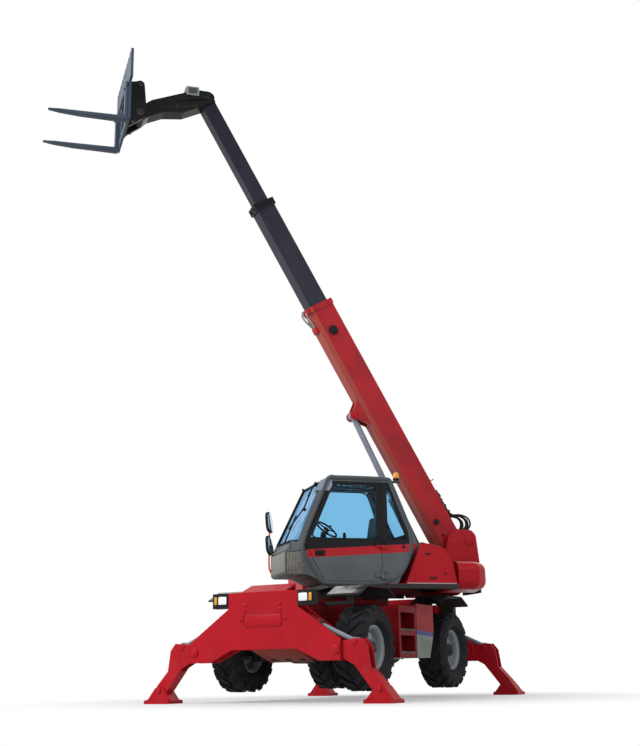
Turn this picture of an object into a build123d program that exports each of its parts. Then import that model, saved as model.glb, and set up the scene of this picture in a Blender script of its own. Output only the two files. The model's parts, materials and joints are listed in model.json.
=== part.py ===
from build123d import *
import math
import os

# Rotating telehandler standing on its outriggers, millimetres, +X forward, +Y left, +Z up.
# The origin is on the ground under the slew axis.

# Pose of the photo
SLEW = -44.0
LUFF = 61.0

# Wheels and axles
WHEELBASE = 2750.0
TRACK = 1948.0
WHEEL_Z = 697.0
TYRE_R = 570.0
LUG_HEIGHT = 28.0
LUG_INNER = 14.0
LUG_SWEEP = 2
TYRE_W = 450.0
RIM_R = 302.0
RIM_FACE = 153.0
KINGPIN_Y = 750.0
KINGPIN_R = 45.0
SPINDLE_R = 70.0
AXLE_R = 95.0

# Running gaps at pins and at the boom's wear pads
PIN_GAP = 1.0
PAD_GAP = 1.0
RING_GAP = 0.15

# Flat sides that stand for a circle on bars, wheels and the slew ring
SIDES = 20
WHEEL_SIDES = 36
RING_SIDES = 48

# Chassis
FRAME_HALF_W = 380.0
FRAME_PLATE = 30.0
FRAME_HALF_L = 2180.0
FRAME_Z0 = 920.0
FRAME_Z1 = 1340.0
BELLY_HALF_L = 620.0
BELLY_Z0 = 560.0
RING_R = 640.0
RING_BORE_R = 530.0
RING_Z0 = 1440.0
RING_Z1 = 1500.0

# Outriggers
BEAM_LEN = 260.0
BEAM_PLATE = 30.0
LIP_REACH = 34.0
LEG_PIN = (1090.0, 670.0)
LEG_PIN_R = 40.0
LEG_W = 170.0
LEG_GAP = 126.0
LEG_EYE = (1330.0, 760.0)
RAM_BASE = (250.0, 1250.0)
RAM_R = 50.0
RAM_BARREL_LEN = 640.0
RAM_ROD_R = 30.0
FOOT_Y = 1690.0
HITCH_Z0, HITCH_Z1, HITCH_PIN_R = 760.0, 900.0, 20.0

# Turret
DECK_Z0 = 1542.0
DECK_Z1 = 1610.0
DECK_X1 = 650.0
DECK_HALF_W = 1120.0
DECK_T = 20.0
TAIL_R = 2130.0
CHEEK_Y0 = 205.0
CHEEK_Y1 = 300.0
CHEEK_SKIN = 12.0
CHEEK_CORNER_R = 100.0
CHEEK_BEND_Z = 2000.0
WEIGHT_Z1 = 1950.0
WEIGHT_X1 = -1380.0
WEIGHT_Y0 = 330.0
WEIGHT_PLAN_R = 170.0
WEIGHT_EDGE_R = 130.0
PIVOT = (-1950.0, 2350.0)
PIVOT_R = 60.0

# Engine hood
HOOD_TOP = 2240.0
HOOD_AXIS = (-336.0, 2266.0)
HOOD_HINGES = (-1100.0, 380.0)
LOUVRES = 6
LOUVRE_Z0 = 1720.0
LOUVRE_PITCH = 55.0
LOUVRE_H = 26.0

# Cab
CAB_Y0 = 220.0
CAB_Y1 = 1120.0
CAB_WALL = 60.0
CAB_CORNER_R = 60.0
CAB_FRONT = 1244.0
CHIN_Z = 1722.0
CORNER_REAR = (1030.0, 1120.0)
CORNER_FRONT = (1244.0, 1020.0)
CAB_Z0 = 1610.0
CAB_Z1 = 3150.0
BEACON = (-490.0, 980.0)
BEACON_R = 50.0
BEACON_Z = 3122.0
STEERING_R = 170.0
STEERING_X = 550.0
HINGE_X = -180.0
HINGE_Y = 1145.0
HINGE_R = 22.0
HINGE_PIN_R = 12.0
HINGE_LEN = 60.0
HINGE_HEIGHTS = (1700.0, 2130.0)
DOOR_GAP = 6.0
PANE_IN = 22.0
PANE_T = 8.0

# Boom
AXIS_DROP = 240.0
OUTER_H, OUTER_W, OUTER_WALL = 410.0, 360.0, 12.0
MIDDLE_H, MIDDLE_W, MIDDLE_WALL = 320.0, 275.0, 10.0
INNER_H, INNER_W, INNER_WALL = 240.0, 200.0, 10.0
OUTER_END = 4430.0
MIDDLE_END = 6340.0
INNER_END = 8180.0
MIDDLE_LEN = 4260.0
INNER_LEN = 4130.0
OUTER_TAIL = 150.0
OUTER_CORNER = 60.0
HEAD_RIM = 14.0
HEAD_LEN = 90.0
GUIDE_LEN = 250.0
SLIDE_GAP = 5.0

# Lift cylinder
LIFT_BASE = (-1400.0, 1800.0)
LIFT_EYE_U = 2580.0
LIFT_EYE_DROP = 360.0
LIFT_R = 75.0
LIFT_ROD_R = 48.0
LIFT_BARREL_LEN = 1380.0
LIFT_PIN_R = 40.0
LIFT_ROD_LEN = 1680.0

# Fork carriage
TILT_PIN = (3350.0, 9050.0)
TILT_PIN_R = 45.0
NOSE_HALF_W = 130.0
NOSE_CREST = (2370.0, 9613.0)
NOSE_KNEE = (2640.0, 9530.0)
LIGHT_X0, LIGHT_X1, LIGHT_Z1, LIGHT_HALF_W = 2390.0, 2610.0, 9655.0, 100.0
HITCH_X0 = 3532.0
HITCH_GAP = 8.0
HITCH_T = 50.0
CARRIAGE_X0 = 3560.0
CARRIAGE_X1 = 3600.0
CARRIAGE_HALF_W = 815.0
CARRIAGE_Z0 = 8700.0
CARRIAGE_Z1 = 9800.0
CARRIAGE_PLATE_Z = 9320.0
CARRIAGE_NOTCHES = 9
RAIL_HALF_W = 640.0
FORK_SPREAD = 1120.0
FORK_W = 120.0
FORK_LEN = 1145.0
FORK_T = 50.0
FORK_TIP_T = 14.0
FORK_Z0 = 8670.0

BEAM_X0 = FRAME_HALF_L
BEAM_X1 = BEAM_X0 + BEAM_LEN
LIP_X = BEAM_X0 - LIP_REACH
AXLE_X = WHEELBASE / 2
TREAD_R = TYRE_R - LUG_HEIGHT
RAM_LEN = math.hypot(LEG_EYE[0] - RAM_BASE[0], LEG_EYE[1] - RAM_BASE[1])
WHEEL_Y = TRACK / 2
CORNERS = {"fl": (1, 1), "fr": (1, -1), "rl": (-1, 1), "rr": (-1, -1)}


def block(x0, x1, y0, y1, z0, z1):
    return Pos((x0 + x1) / 2, (y0 + y1) / 2, (z0 + z1) / 2) * Box(abs(x1 - x0), abs(y1 - y0), z1 - z0)


def prism(points, direction):
    # A flat outline of 3-D points pushed along a vector
    face = make_face(Polyline(*points, close=True))
    push = Vector(*direction)
    return extrude(face, amount=push.length, dir=push.normalized())


def prism_xz(points, y0, y1):
    return prism([(x, y0, z) for x, z in points], (0, y1 - y0, 0))


def prism_yz(points, x0, x1):
    return prism([(x0, y, z) for y, z in points], (x1 - x0, 0, 0))


def prism_xy(points, z0, z1):
    return prism([(x, y, z0) for x, y in points], (0, 0, z1 - z0))


def rod(start, end, radius, sides=SIDES):
    # A round bar drawn with flat sides
    axis = Vector(*end) - Vector(*start)
    outline = Plane(origin=start, z_dir=axis) * RegularPolygon(radius, sides)
    return extrude(outline, amount=axis.length, dir=axis.normalized())


def bore(start, end, radius):
    # A true round hole
    axis = Vector(*end) - Vector(*start)
    return Plane(origin=start, z_dir=axis) * Cylinder(
        radius, axis.length, align=(Align.CENTER, Align.CENTER, Align.MIN))


def turret_place(shape):
    return Rot(0, 0, SLEW) * shape


def boom_place(shape):
    return turret_place(Pos(PIVOT[0], 0, PIVOT[1]) * Rot(0, -LUFF, 0) * shape)


def boom_point(u, v):
    # Turret x and z of a point given along the boom and square to it from the pivot
    a = math.radians(LUFF)
    return (PIVOT[0] + u * math.cos(a) - v * math.sin(a), PIVOT[1] + u * math.sin(a) + v * math.cos(a))


def mirrored(shape, fore, side):
    if fore < 0:
        shape = mirror(shape, about=Plane.YZ)
    if side < 0:
        shape = mirror(shape, about=Plane.XZ)
    return shape


# Chassis
def chassis_frame():
    # Welded tray with its open side down, a belly box and the ring's pedestal
    w, t = FRAME_HALF_W, FRAME_PLATE
    frame = block(-FRAME_HALF_L, FRAME_HALF_L, -w, w, FRAME_Z0, FRAME_Z1)
    frame += block(-BELLY_HALF_L, BELLY_HALF_L, -w, w, BELLY_Z0, FRAME_Z0)
    frame -= block(t - FRAME_HALF_L, FRAME_HALF_L - t, t - w, w - t, FRAME_Z0, FRAME_Z1 - t)
    frame -= block(t - BELLY_HALF_L, BELLY_HALF_L - t, t - w, w - t, BELLY_Z0 + t, FRAME_Z0)
    for x in (-AXLE_X, AXLE_X):
        frame += block(x - 200, x + 200, t - w, w - t, FRAME_Z0, FRAME_Z0 + t)
    pedestal = rod((0, 0, FRAME_Z1), (0, 0, RING_Z0), RING_R, RING_SIDES)
    return frame + (pedestal - rod((0, 0, FRAME_Z1), (0, 0, RING_Z0), RING_BORE_R, RING_SIDES))


def slew_ring():
    ring = rod((0, 0, RING_Z0), (0, 0, RING_Z1), RING_R, RING_SIDES)
    corner_r = RING_BORE_R / math.cos(math.pi / RING_SIDES)
    return ring - rod((0, 0, RING_Z0), (0, 0, RING_Z1), corner_r, RING_SIDES)


def axle():
    # Front axle with its differential, frame pad and the yokes of the kingpins
    body = rod((AXLE_X, -KINGPIN_Y + 120, WHEEL_Z), (AXLE_X, KINGPIN_Y - 120, WHEEL_Z), AXLE_R)
    body += rod((AXLE_X - 190, 0, WHEEL_Z), (AXLE_X + 190, 0, WHEEL_Z), 190)
    body += block(AXLE_X - 150, AXLE_X + 150, -260, 260, WHEEL_Z, FRAME_Z0)
    for side in (1, -1):
        y = side * KINGPIN_Y
        yoke = block(AXLE_X - 75, AXLE_X + 75, y - side * 125, y - side * 85, WHEEL_Z - 150, WHEEL_Z + 150)
        for z in (WHEEL_Z - 150, WHEEL_Z + 105):
            yoke += block(AXLE_X - 75, AXLE_X + 75, y - side * 125, y, z, z + 45)
            yoke += rod((AXLE_X, y, z), (AXLE_X, y, z + 45), 75)
        yoke -= bore((AXLE_X, y, WHEEL_Z - 200), (AXLE_X, y, WHEEL_Z + 200), KINGPIN_R + PIN_GAP)
        body += yoke
    return body


def knuckle():
    # Front left knuckle: kingpin, body and wheel spindle
    body = rod((AXLE_X, KINGPIN_Y, WHEEL_Z - 150), (AXLE_X, KINGPIN_Y, WHEEL_Z + 150), KINGPIN_R)
    body += rod((AXLE_X, KINGPIN_Y, WHEEL_Z - 98), (AXLE_X, KINGPIN_Y, WHEEL_Z + 98), 72)
    body += rod((AXLE_X, KINGPIN_Y, WHEEL_Z), (AXLE_X, WHEEL_Y + 40, WHEEL_Z), SPINDLE_R)
    return body


def around(radius, offset, step):
    # A point of the front left wheel, counted in steps round its axle from the top towards the front
    turn = 2 * math.pi * step / WHEEL_SIDES
    return (AXLE_X + radius * math.sin(turn), WHEEL_Y + offset, WHEEL_Z + radius * math.cos(turn))


def patch(*corners):
    # A flat face, or two where four corners don't lie in a plane
    if len(set(corners)) < 3:
        return []
    return [make_face(Polyline(*corners, close=True)).face()]


def split(a, b, c, d):
    return patch(a, b, c) + patch(a, c, d)


def band(r0, y0, r1, y1, step):
    # One flat side of the ring between two circles of a wheel
    if r0 == 0:
        return patch(around(0, y0, step), around(r1, y1, step + 1), around(r1, y1, step))
    if r1 == 0:
        return patch(around(r0, y0, step), around(r0, y0, step + 1), around(0, y1, step))
    first = [around(r0, y0, step), around(r0, y0, step + 1)]
    second = [around(r1, y1, step + 1), around(r1, y1, step)]
    return patch(*first, *second)


def wheel_solid(points):
    # A wheel profile of radius and offset, swept round the hub in flat steps
    faces = []
    for step in range(WHEEL_SIDES):
        for (r0, y0), (r1, y1) in zip(points, points[1:] + points[:1]):
            if r0 or r1:
                faces += band(r0, y0, r1, y1, step)
    return Solid(Shell(faces))


def tread(side, step, lug):
    # One strip of tread from the middle to the shoulder, raised where it is a lug
    rise = LUG_HEIGHT if lug else 0
    rows = [(TREAD_R, LUG_INNER, 0), (TREAD_R, TYRE_W / 2 - 45, 0.85), (TREAD_R - 65, TYRE_W / 2 - 12, 1)]

    def corner(row, ahead, lift):
        radius, offset, swept = rows[row]
        outward = lift * (0.4 if row == 2 else 0)
        return around(radius + lift, side * (offset + outward), step + ahead - swept * LUG_SWEEP)

    faces = []
    for row in (0, 1):
        near = [corner(row, 0, rise), corner(row, 1, rise)]
        far = [corner(row + 1, 1, rise), corner(row + 1, 0, rise)]
        faces += split(*near, *far)
        if lug:
            for ahead in (0, 1):
                faces += split(corner(row, ahead, 0), corner(row, ahead, rise), corner(row + 1, ahead, rise),
                               corner(row + 1, ahead, 0))
    if lug:
        for row in (0, 2):
            faces += split(corner(row, 0, 0), corner(row, 1, 0), corner(row, 1, rise), corner(row, 0, rise))
    return faces


def tyre():
    # Carcass with chevron lugs that lead at the middle, staggered from side to side
    half = TYRE_W / 2
    wall = [(TREAD_R - 65, half - 12), (RIM_R + 150, half), (RIM_R + 60, half - 12), (RIM_R, RIM_FACE - 15)]
    faces = []
    for step in range(WHEEL_SIDES):
        faces += band(TREAD_R, -LUG_INNER, TREAD_R, LUG_INNER, step)
        faces += band(RIM_R, 15 - RIM_FACE, RIM_R, RIM_FACE - 15, step)
        for side in (1, -1):
            faces += tread(side, step, (step % 2 == 0) == (side > 0))
            for (r0, y0), (r1, y1) in zip(wall, wall[1:]):
                faces += band(r0, side * y0, r1, side * y1, step)
    return Solid(Shell(faces))


def rim():
    # Dished disc, flanges and hub, bored for the spindle
    body = wheel_solid([
        (0, -60), (0, 130), (90, 130), (105, 60), (230, 40), (275, RIM_FACE), (RIM_R, RIM_FACE),
        (RIM_R, -RIM_FACE),
        (275, -RIM_FACE), (255, 10), (130, 20), (130, -60)])
    return body - bore((AXLE_X, WHEEL_Y - 60, WHEEL_Z), (AXLE_X, WHEEL_Y + 50, WHEEL_Z), SPINDLE_R + PIN_GAP)


def beam_outline():
    right = [(545, 1440), (545, 1225), (1155, 797), (1155, 530), (850, 530), (500, 690)]
    return right + [(-y, z) for y, z in reversed(right)]


def leg_slice(point):
    return (BEAM_X0 + BEAM_X1) / 2, point[0], point[1]


def ram_point(along):
    # A point on the axis of the left leg's ram
    dy = LEG_EYE[0] - RAM_BASE[0]
    dz = LEG_EYE[1] - RAM_BASE[1]
    reach = math.hypot(dy, dz)
    return leg_slice((RAM_BASE[0] + dy * along / reach, RAM_BASE[1] + dz * along / reach))


def outrigger_beam():
    # Two plates with webs between, a bent top lip and the fixed barrels of the leg rams
    beam = prism_yz(beam_outline(), BEAM_X1 - BEAM_PLATE, BEAM_X1)
    beam += prism_yz(beam_outline(), BEAM_X0, BEAM_X0 + BEAM_PLATE)
    for side in (1, -1):
        beam += block(BEAM_X0, BEAM_X1, side * 230, side * 300, 700, 1440)
    beam += block(BEAM_X0, BEAM_X1, -300, 300, 700, 730)
    lip = [(LIP_X, 1552), (BEAM_X1, 1440), (BEAM_X1, 1410), (LIP_X, 1522)]
    beam += prism_xz(lip, -348, 348)
    beam += block(LIP_X, LIP_X + 30, -348, 348, 1400, 1540) + block(LIP_X, BEAM_X0, -348, 348, 1380, 1410)
    for side in (1, -1):
        barrel = rod(ram_point(0), ram_point(RAM_BARREL_LEN), RAM_R)
        inside = rod(ram_point(60), ram_point(RAM_BARREL_LEN), RAM_ROD_R + PIN_GAP)
        beam += mirrored(barrel - inside, 1, side)
        hole = bore((BEAM_X0, *LEG_PIN), (BEAM_X1, *LEG_PIN), LEG_PIN_R + PIN_GAP)
        beam -= mirrored(hole, 1, side)
    return beam


def tow_hitch():
    # Rear clevis for a drawbar eye, with an upright pin hole
    x0, x1 = -BEAM_X1 - 260, -BEAM_X1
    clevis = block(x1 - 60, x1, -110, 110, HITCH_Z0, HITCH_Z1)
    for z in (HITCH_Z0, HITCH_Z1 - 30):
        clevis += block(x0, x1, -90, 90, z, z + 30)
    return clevis - bore((x0 + 90, 0, HITCH_Z0), (x0 + 90, 0, HITCH_Z1), HITCH_PIN_R)


def leg():
    # Front left leg: two cheeks joined below, the foot and the hinge pin
    middle = (BEAM_X0 + BEAM_X1) / 2
    outline = [(1010, 700), (1040, 765), (1440, 800), (1520, 700), (1560, 430), (1745, 230), (1745, 120),
               (1610, 120), (1330, 470), (1150, 565), (1040, 580)]
    body = prism_yz(outline, middle - LEG_W / 2, middle + LEG_W / 2)
    body -= block(middle - LEG_GAP / 2, middle + LEG_GAP / 2, 900, 1700, 430, 900)
    body += rod((BEAM_X0, *LEG_PIN), (BEAM_X1 + 12, *LEG_PIN), LEG_PIN_R)
    tent = [(FOOT_Y - 200, 0), (FOOT_Y + 200, 0), (FOOT_Y + 200, 40), (FOOT_Y + 60, 215), (FOOT_Y - 60, 215),
            (FOOT_Y - 200, 40)]
    foot = prism_yz(tent, middle - 180, middle + 180)
    for x0, x1 in ((middle - 180, middle - LEG_W / 2 - 25), (middle + LEG_W / 2 + 25, middle + 180)):
        foot -= block(x0, x1, FOOT_Y - 200, FOOT_Y + 200, 40, 215)
    return body + foot


def leg_rod():
    # Front left ram rod with its eye between the cheeks
    body = rod(ram_point(560), ram_point(RAM_LEN), RAM_ROD_R)
    x, y, z = ram_point(RAM_LEN)
    body += rod((x - 45, y, z), (x + 45, y, z), 55)
    return body - rod((x - 45, y, z), (x + 45, y, z), 28)


def fender():
    # Front left mudguard: a bent plate on a bracket from the frame
    upper = [(-560, 1400), (-300, 1520), (300, 1520), (560, 1400)]
    outline = [(AXLE_X + x, z) for x, z in upper] + [(AXLE_X + x, z - 25) for x, z in reversed(upper)]
    plate = prism_xz(outline, 700, 1200)
    bracket = block(AXLE_X - 60, AXLE_X + 60, FRAME_HALF_W, 800, 1290, 1335)
    return plate + bracket + block(AXLE_X - 60, AXLE_X + 60, 755, 800, 1290, 1500)


def headlamp():
    # Front left lamp beside the middle panel
    return block(BEAM_X1 - 110, BEAM_X1 + 9, 545, 788, 1240, 1440)


def step_box():
    box = block(20, 620, FRAME_HALF_W, 1150, 570, 1300) - block(40, 600, FRAME_HALF_W + 20, 940, 570, 1280)
    for z in (640, 960):
        box -= block(80, 560, 960, 1150, z, z + 240)
    return box


def left_tank():
    # Moulded tank with its lower rear corner cut away
    outline = [(-620, 1340), (0, 1340), (0, 570), (-450, 570), (-620, 940)]
    return prism_xz(outline, FRAME_HALF_W, 1150)


def fuel_tank():
    return block(-620, 620, -1150, -FRAME_HALF_W, 570, 1300)


# Turret
def turret_frame():
    # Deck tray within the tail circle, slew drum, tower cheeks and the lift cylinder's lugs
    tail = rod((0, 0, DECK_Z0), (0, 0, DECK_Z1), TAIL_R, RING_SIDES)
    deck = block(-TAIL_R, DECK_X1, -DECK_HALF_W, DECK_HALF_W, DECK_Z0, DECK_Z1) & tail
    inner_y = DECK_HALF_W - DECK_T
    under = block(DECK_T - TAIL_R, DECK_X1 - DECK_T, -inner_y, inner_y, DECK_Z0, DECK_Z1 - DECK_T)
    deck -= under & rod((0, 0, DECK_Z0), (0, 0, DECK_Z1), TAIL_R - DECK_T, RING_SIDES)
    for y0, y1 in ((WEIGHT_Y0, TAIL_R), (-TAIL_R, -WEIGHT_Y0)):
        deck -= block(-TAIL_R, WEIGHT_X1, y0, y1, DECK_Z0, DECK_Z1)
    drum = rod((0, 0, RING_Z1 + 5), (0, 0, DECK_Z1 - DECK_T), RING_R, RING_SIDES)
    drum += rod((0, 0, RING_Z0 + 5), (0, 0, RING_Z1 + 5), RING_BORE_R - RING_GAP, RING_SIDES)
    drum -= rod((0, 0, RING_Z0 + 5), (0, 0, DECK_Z1 - DECK_T), RING_BORE_R - 90, RING_SIDES)
    frame = deck + drum + bore((0, 0, RING_Z0 + 60), (0, 0, DECK_Z1 - DECK_T), 90)
    px, pz = PIVOT
    cheek = [(-1450, DECK_Z1), (-1600, 2412), (-1741, 2519), (-1988, 2517), (-2066, 2437), (-2108, 2032),
             (-2100, DECK_Z1)]
    face = make_face(Polyline(*cheek, close=True))
    face = fillet(face.vertices().filter_by(lambda corner: corner.Y > CHEEK_BEND_Z), CHEEK_CORNER_R)
    for y0, y1 in ((CHEEK_Y0, CHEEK_Y1), (-CHEEK_Y1, -CHEEK_Y0)):
        frame += Pos(0, y1, 0) * extrude(Plane.XZ * face, amount=y1 - y0)
    frame -= bore((px, CHEEK_SKIN - CHEEK_Y1, pz), (px, CHEEK_Y1 - CHEEK_SKIN, pz), PIVOT_R + PIN_GAP)
    lx, lz = LIFT_BASE
    for y0, y1 in ((90, 130), (-130, -90)):
        frame += block(lx - 80, lx + 80, y0, y1, DECK_Z1, lz) + rod((lx, y0, lz), (lx, y1, lz), 80)
    return frame - bore((lx, -130, lz), (lx, 130, lz), LIFT_PIN_R + PIN_GAP)


def counterweight():
    # A rounded cast block each side of the tower
    plan = [(WEIGHT_X1, WEIGHT_Y0), (WEIGHT_X1, 1110), (-1700, 1110), (-1890, 960), (-2085, WEIGHT_Y0)]
    face = make_face(Polyline(*plan, close=True))
    rounded = face.vertices().filter_by(lambda corner: corner.Y > WEIGHT_Y0 + 1 and corner.X < WEIGHT_X1 - 1)
    face = fillet(rounded, WEIGHT_PLAN_R)
    half = extrude(Pos(0, 0, DECK_Z0) * face, amount=WEIGHT_Z1 - DECK_Z0)
    for level in (0, -1):
        edges = half.faces().sort_by(Axis.Z)[level].edges()
        edges = edges.filter_by(lambda edge: edge.center().X < WEIGHT_X1 - 1)
        edges = edges.filter_by(lambda edge: edge.center().Y > WEIGHT_Y0 + 1)
        half = fillet(edges, WEIGHT_EDGE_R)
    return [half, mirror(half, about=Plane.XZ)]


def engine_block():
    return block(-1000, 300, -880, -430, DECK_Z1, 2080)


def engine_wall():
    # Fixed inner wall beside the boom, with the pins of the hood's hinges
    wall = block(-1300, 600, -330, -300, DECK_Z1, HOOD_TOP)
    for x in HOOD_HINGES:
        wall += rod((x - 40, *HOOD_AXIS), (x + 100, *HOOD_AXIS), HINGE_PIN_R)
        for x0 in (x - 40, x + 65):
            wall += block(x0, x0 + 35, HOOD_AXIS[0] - 14, -300, HOOD_TOP + 6, HOOD_AXIS[1] + 14)
            wall += block(x0, x0 + 35, -330, -300, HOOD_TOP, HOOD_TOP + 6)
    return wall


def engine_hood():
    # Lid over the engine: top, outer side and both ends
    low, top = DECK_Z1 + 6, HOOD_TOP
    outer = [(-336, low), (-1120, low), (-1120, top - 140), (-1000, top), (-336, top)]
    inner = [(-336, low), (-1090, low), (-1090, top - 150), (-985, top - 30), (-336, top - 30)]
    hood = prism_yz(outer, -1300, 600) - prism_yz(inner, -1270, 570)
    for slot in range(LOUVRES):
        z = LOUVRE_Z0 + slot * LOUVRE_PITCH
        hood -= block(-1050, -250, -1130, -1080, z, z + LOUVRE_H)
    for x in HOOD_HINGES:
        axis = ((x, *HOOD_AXIS), (x + 60, *HOOD_AXIS))
        leaf = block(x, x + 60, HOOD_AXIS[0] - 90, HOOD_AXIS[0], HOOD_TOP, HOOD_AXIS[1]) + rod(*axis, HINGE_R)
        hood += leaf - bore(*axis, HINGE_PIN_R + PIN_GAP)
    return hood


def left_hood():
    outline = [(-545, DECK_Z1), (-1350, DECK_Z1), (-1300, 1880), (-1190, 2100), (-1090, 2150), (-800, 2210)]
    return prism_xz(outline, 330, CAB_Y1)


def cab_profile(inset):
    outline = Polyline(
        (-420, CAB_Z0), (700, CAB_Z0), (930, CHIN_Z), (CAB_FRONT, CHIN_Z), (CAB_FRONT, 2060), (1180, 2170),
        (735, 3060), (590, CAB_Z1), (-350, CAB_Z1), (-740, 2210), close=True)
    face = make_face(outline)
    face = fillet(face.vertices(), CAB_CORNER_R)
    return offset(face, amount=-inset, kind=Kind.INTERSECTION) if inset else face


def cab_body(inset):
    # The cab's outer form, or the same moved in by a distance
    face = cab_profile(inset)
    body = extrude(Plane.XZ * face, amount=CAB_Y1 - CAB_Y0 - 2 * inset, dir=(0, 1, 0))
    body = Pos(0, CAB_Y0 + inset, 0) * body
    # The front left corner is cut along a line from the door pillar to the front panel
    x0, y0 = CORNER_REAR
    x1, y1 = CORNER_FRONT
    run, fall = x1 - x0, y0 - y1
    drop = inset * math.hypot(run, fall) / run
    reach = 2.0
    line_end = (x0 + reach * run, y0 - reach * fall - drop)
    line_start = (x0 - reach * run, y0 + reach * fall - drop)
    corner = [line_start, line_end, (line_end[0], line_start[1])]
    return body - prism_xy(corner, CAB_Z0 - 10, CAB_Z1 + 10)


def door_outline(inset):
    points = [(HINGE_X + inset, 1640 + inset), (690 - inset, 1640 + inset), (985 - 1.15 * inset, 2180),
              (575 - inset, 3090 - inset), (HINGE_X + inset, 3090 - inset)]
    return points


def window_cutters():
    # One cutter per pane: windscreen with its corner, roof, rear, right side, left rear quarter
    screen = [(1400, 2200), (1000, 2200), (600, 2970), (760, 3050), (1400, 2600)]
    front = prism_xz(screen, CAB_Y0 + 70, CAB_Y1 - 75)
    front += prism_xz([(1400, 2200), (1080, 2200), (775, 2920), (1400, 2600)], CAB_Y1 - 100, CAB_Y1 + 20)
    roof = block(-250, 420, CAB_Y0 + 90, CAB_Y1 - 90, CAB_Z1 - 100, CAB_Z1 + 20)
    rear = prism_xz([(-720, 2340), (-400, 2340), (-200, 2980), (-600, 2980)], CAB_Y0 + 90, CAB_Y1 - 90)
    right = prism_xz([(-560, 2240), (1080, 2240), (590, 3060), (-290, 3060)], CAB_Y0 - 20, CAB_Y0 + 100)
    quarter = prism_xz([(-590, 2240), (-270, 2240), (-270, 3060), (-300, 3060)], CAB_Y1 - 100, CAB_Y1 + 20)
    return [front, roof, rear, right, quarter]


def cab_shell():
    shell = cab_body(0) - cab_body(CAB_WALL)
    for cutter in window_cutters():
        shell -= cutter
    opening = prism_xz(door_outline(-DOOR_GAP), CAB_Y1 - 3 * CAB_WALL, CAB_Y1 + 20)
    shell -= opening
    for z in HINGE_HEIGHTS:
        shell += rod((HINGE_X, HINGE_Y, z - 30), (HINGE_X, HINGE_Y, z + HINGE_LEN + 30), HINGE_PIN_R)
        for z0 in (z - 30, z + HINGE_LEN + 5):
            shell += block(HINGE_X - 70, HINGE_X, CAB_Y1, HINGE_Y, z0, z0 + 25)
            shell += rod((HINGE_X, HINGE_Y, z0), (HINGE_X, HINGE_Y, z0 + 25), HINGE_R)
    x, y = BEACON
    return shell + block(x - BEACON_R, -330, y - BEACON_R, y + BEACON_R, BEACON_Z - 22, BEACON_Z)


def cab_glass():
    layer = cab_body(PANE_IN) - cab_body(PANE_IN + PANE_T)
    return [layer & cutter for cutter in window_cutters()]


def cab_door():
    door = prism_xz(door_outline(0), CAB_Y1 - CAB_WALL, CAB_Y1)
    door -= prism_xz(door_window(), CAB_Y1 - CAB_WALL - 10, CAB_Y1 + 10)
    for z in HINGE_HEIGHTS:
        axis = ((HINGE_X, HINGE_Y, z), (HINGE_X, HINGE_Y, z + HINGE_LEN))
        leaf = block(HINGE_X, HINGE_X + 110, CAB_Y1, HINGE_Y, z, z + HINGE_LEN) + rod(*axis, HINGE_R)
        door += leaf - bore(*axis, HINGE_PIN_R + PIN_GAP)
    return door


def door_window():
    return [(HINGE_X + 60, 2240), (895, 2240), (545, 3030), (HINGE_X + 60, 3030)]


def door_glass():
    return prism_xz(door_window(), CAB_Y1 - PANE_IN - PANE_T, CAB_Y1 - PANE_IN)


def cab_seat():
    seat = block(-250, 230, 430, 910, CAB_Z0 + CAB_WALL, 2020)
    return seat + prism_xz([(-250, 2020), (-130, 2020), (-230, 2640), (-330, 2640)], 430, 910)


def cab_controls():
    floor = CAB_Z0 + CAB_WALL
    top = [(STEERING_X + 40, 2390), (STEERING_X - 30, 2390)]
    column = prism_xz([(560, floor), (680, floor), *top], 610, 730)
    return column + rod((STEERING_X, 670, 2390), (STEERING_X - 14, 670, 2418), STEERING_R)


def beacon():
    x, y = BEACON
    return rod((x, y, BEACON_Z), (x, y, BEACON_Z + 140), BEACON_R)


def mirrors():
    # Two mirrors on one upright at the cab's right front corner, clear of the lowered boom
    arm = block(1244, 1262, 236, 262, 1800, 2700)
    for z, height in ((2070, 280), (2400, 300)):
        top = z + height
        leaf = [(222, z + 40), (300, z), (390, z + 60), (400, top - 30), (320, top), (240, top - 90)]
        arm += prism_yz(leaf, 1262, 1310)
    return arm


# Boom, modelled along +X from the pivot, with the sections' axis below it
def section(height, width, start, end, corner=0.0):
    z = -AXIS_DROP
    low, high, half = z - height / 2, z + height / 2, width / 2
    outline = [(half, high), (-half, high), (-half, low + corner), (-half + corner, low),
               (half - corner, low), (half, low + corner)]
    if not corner:
        outline = [(half, high), (-half, high), (-half, low), (half, low)]
    return prism_yz(outline, start, end)


def tube(height, width, wall, start, end, corner=0.0):
    inner = section(height - 2 * wall, width - 2 * wall, start - 10, end + 10, corner)
    return section(height, width, start, end, corner) - inner


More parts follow.
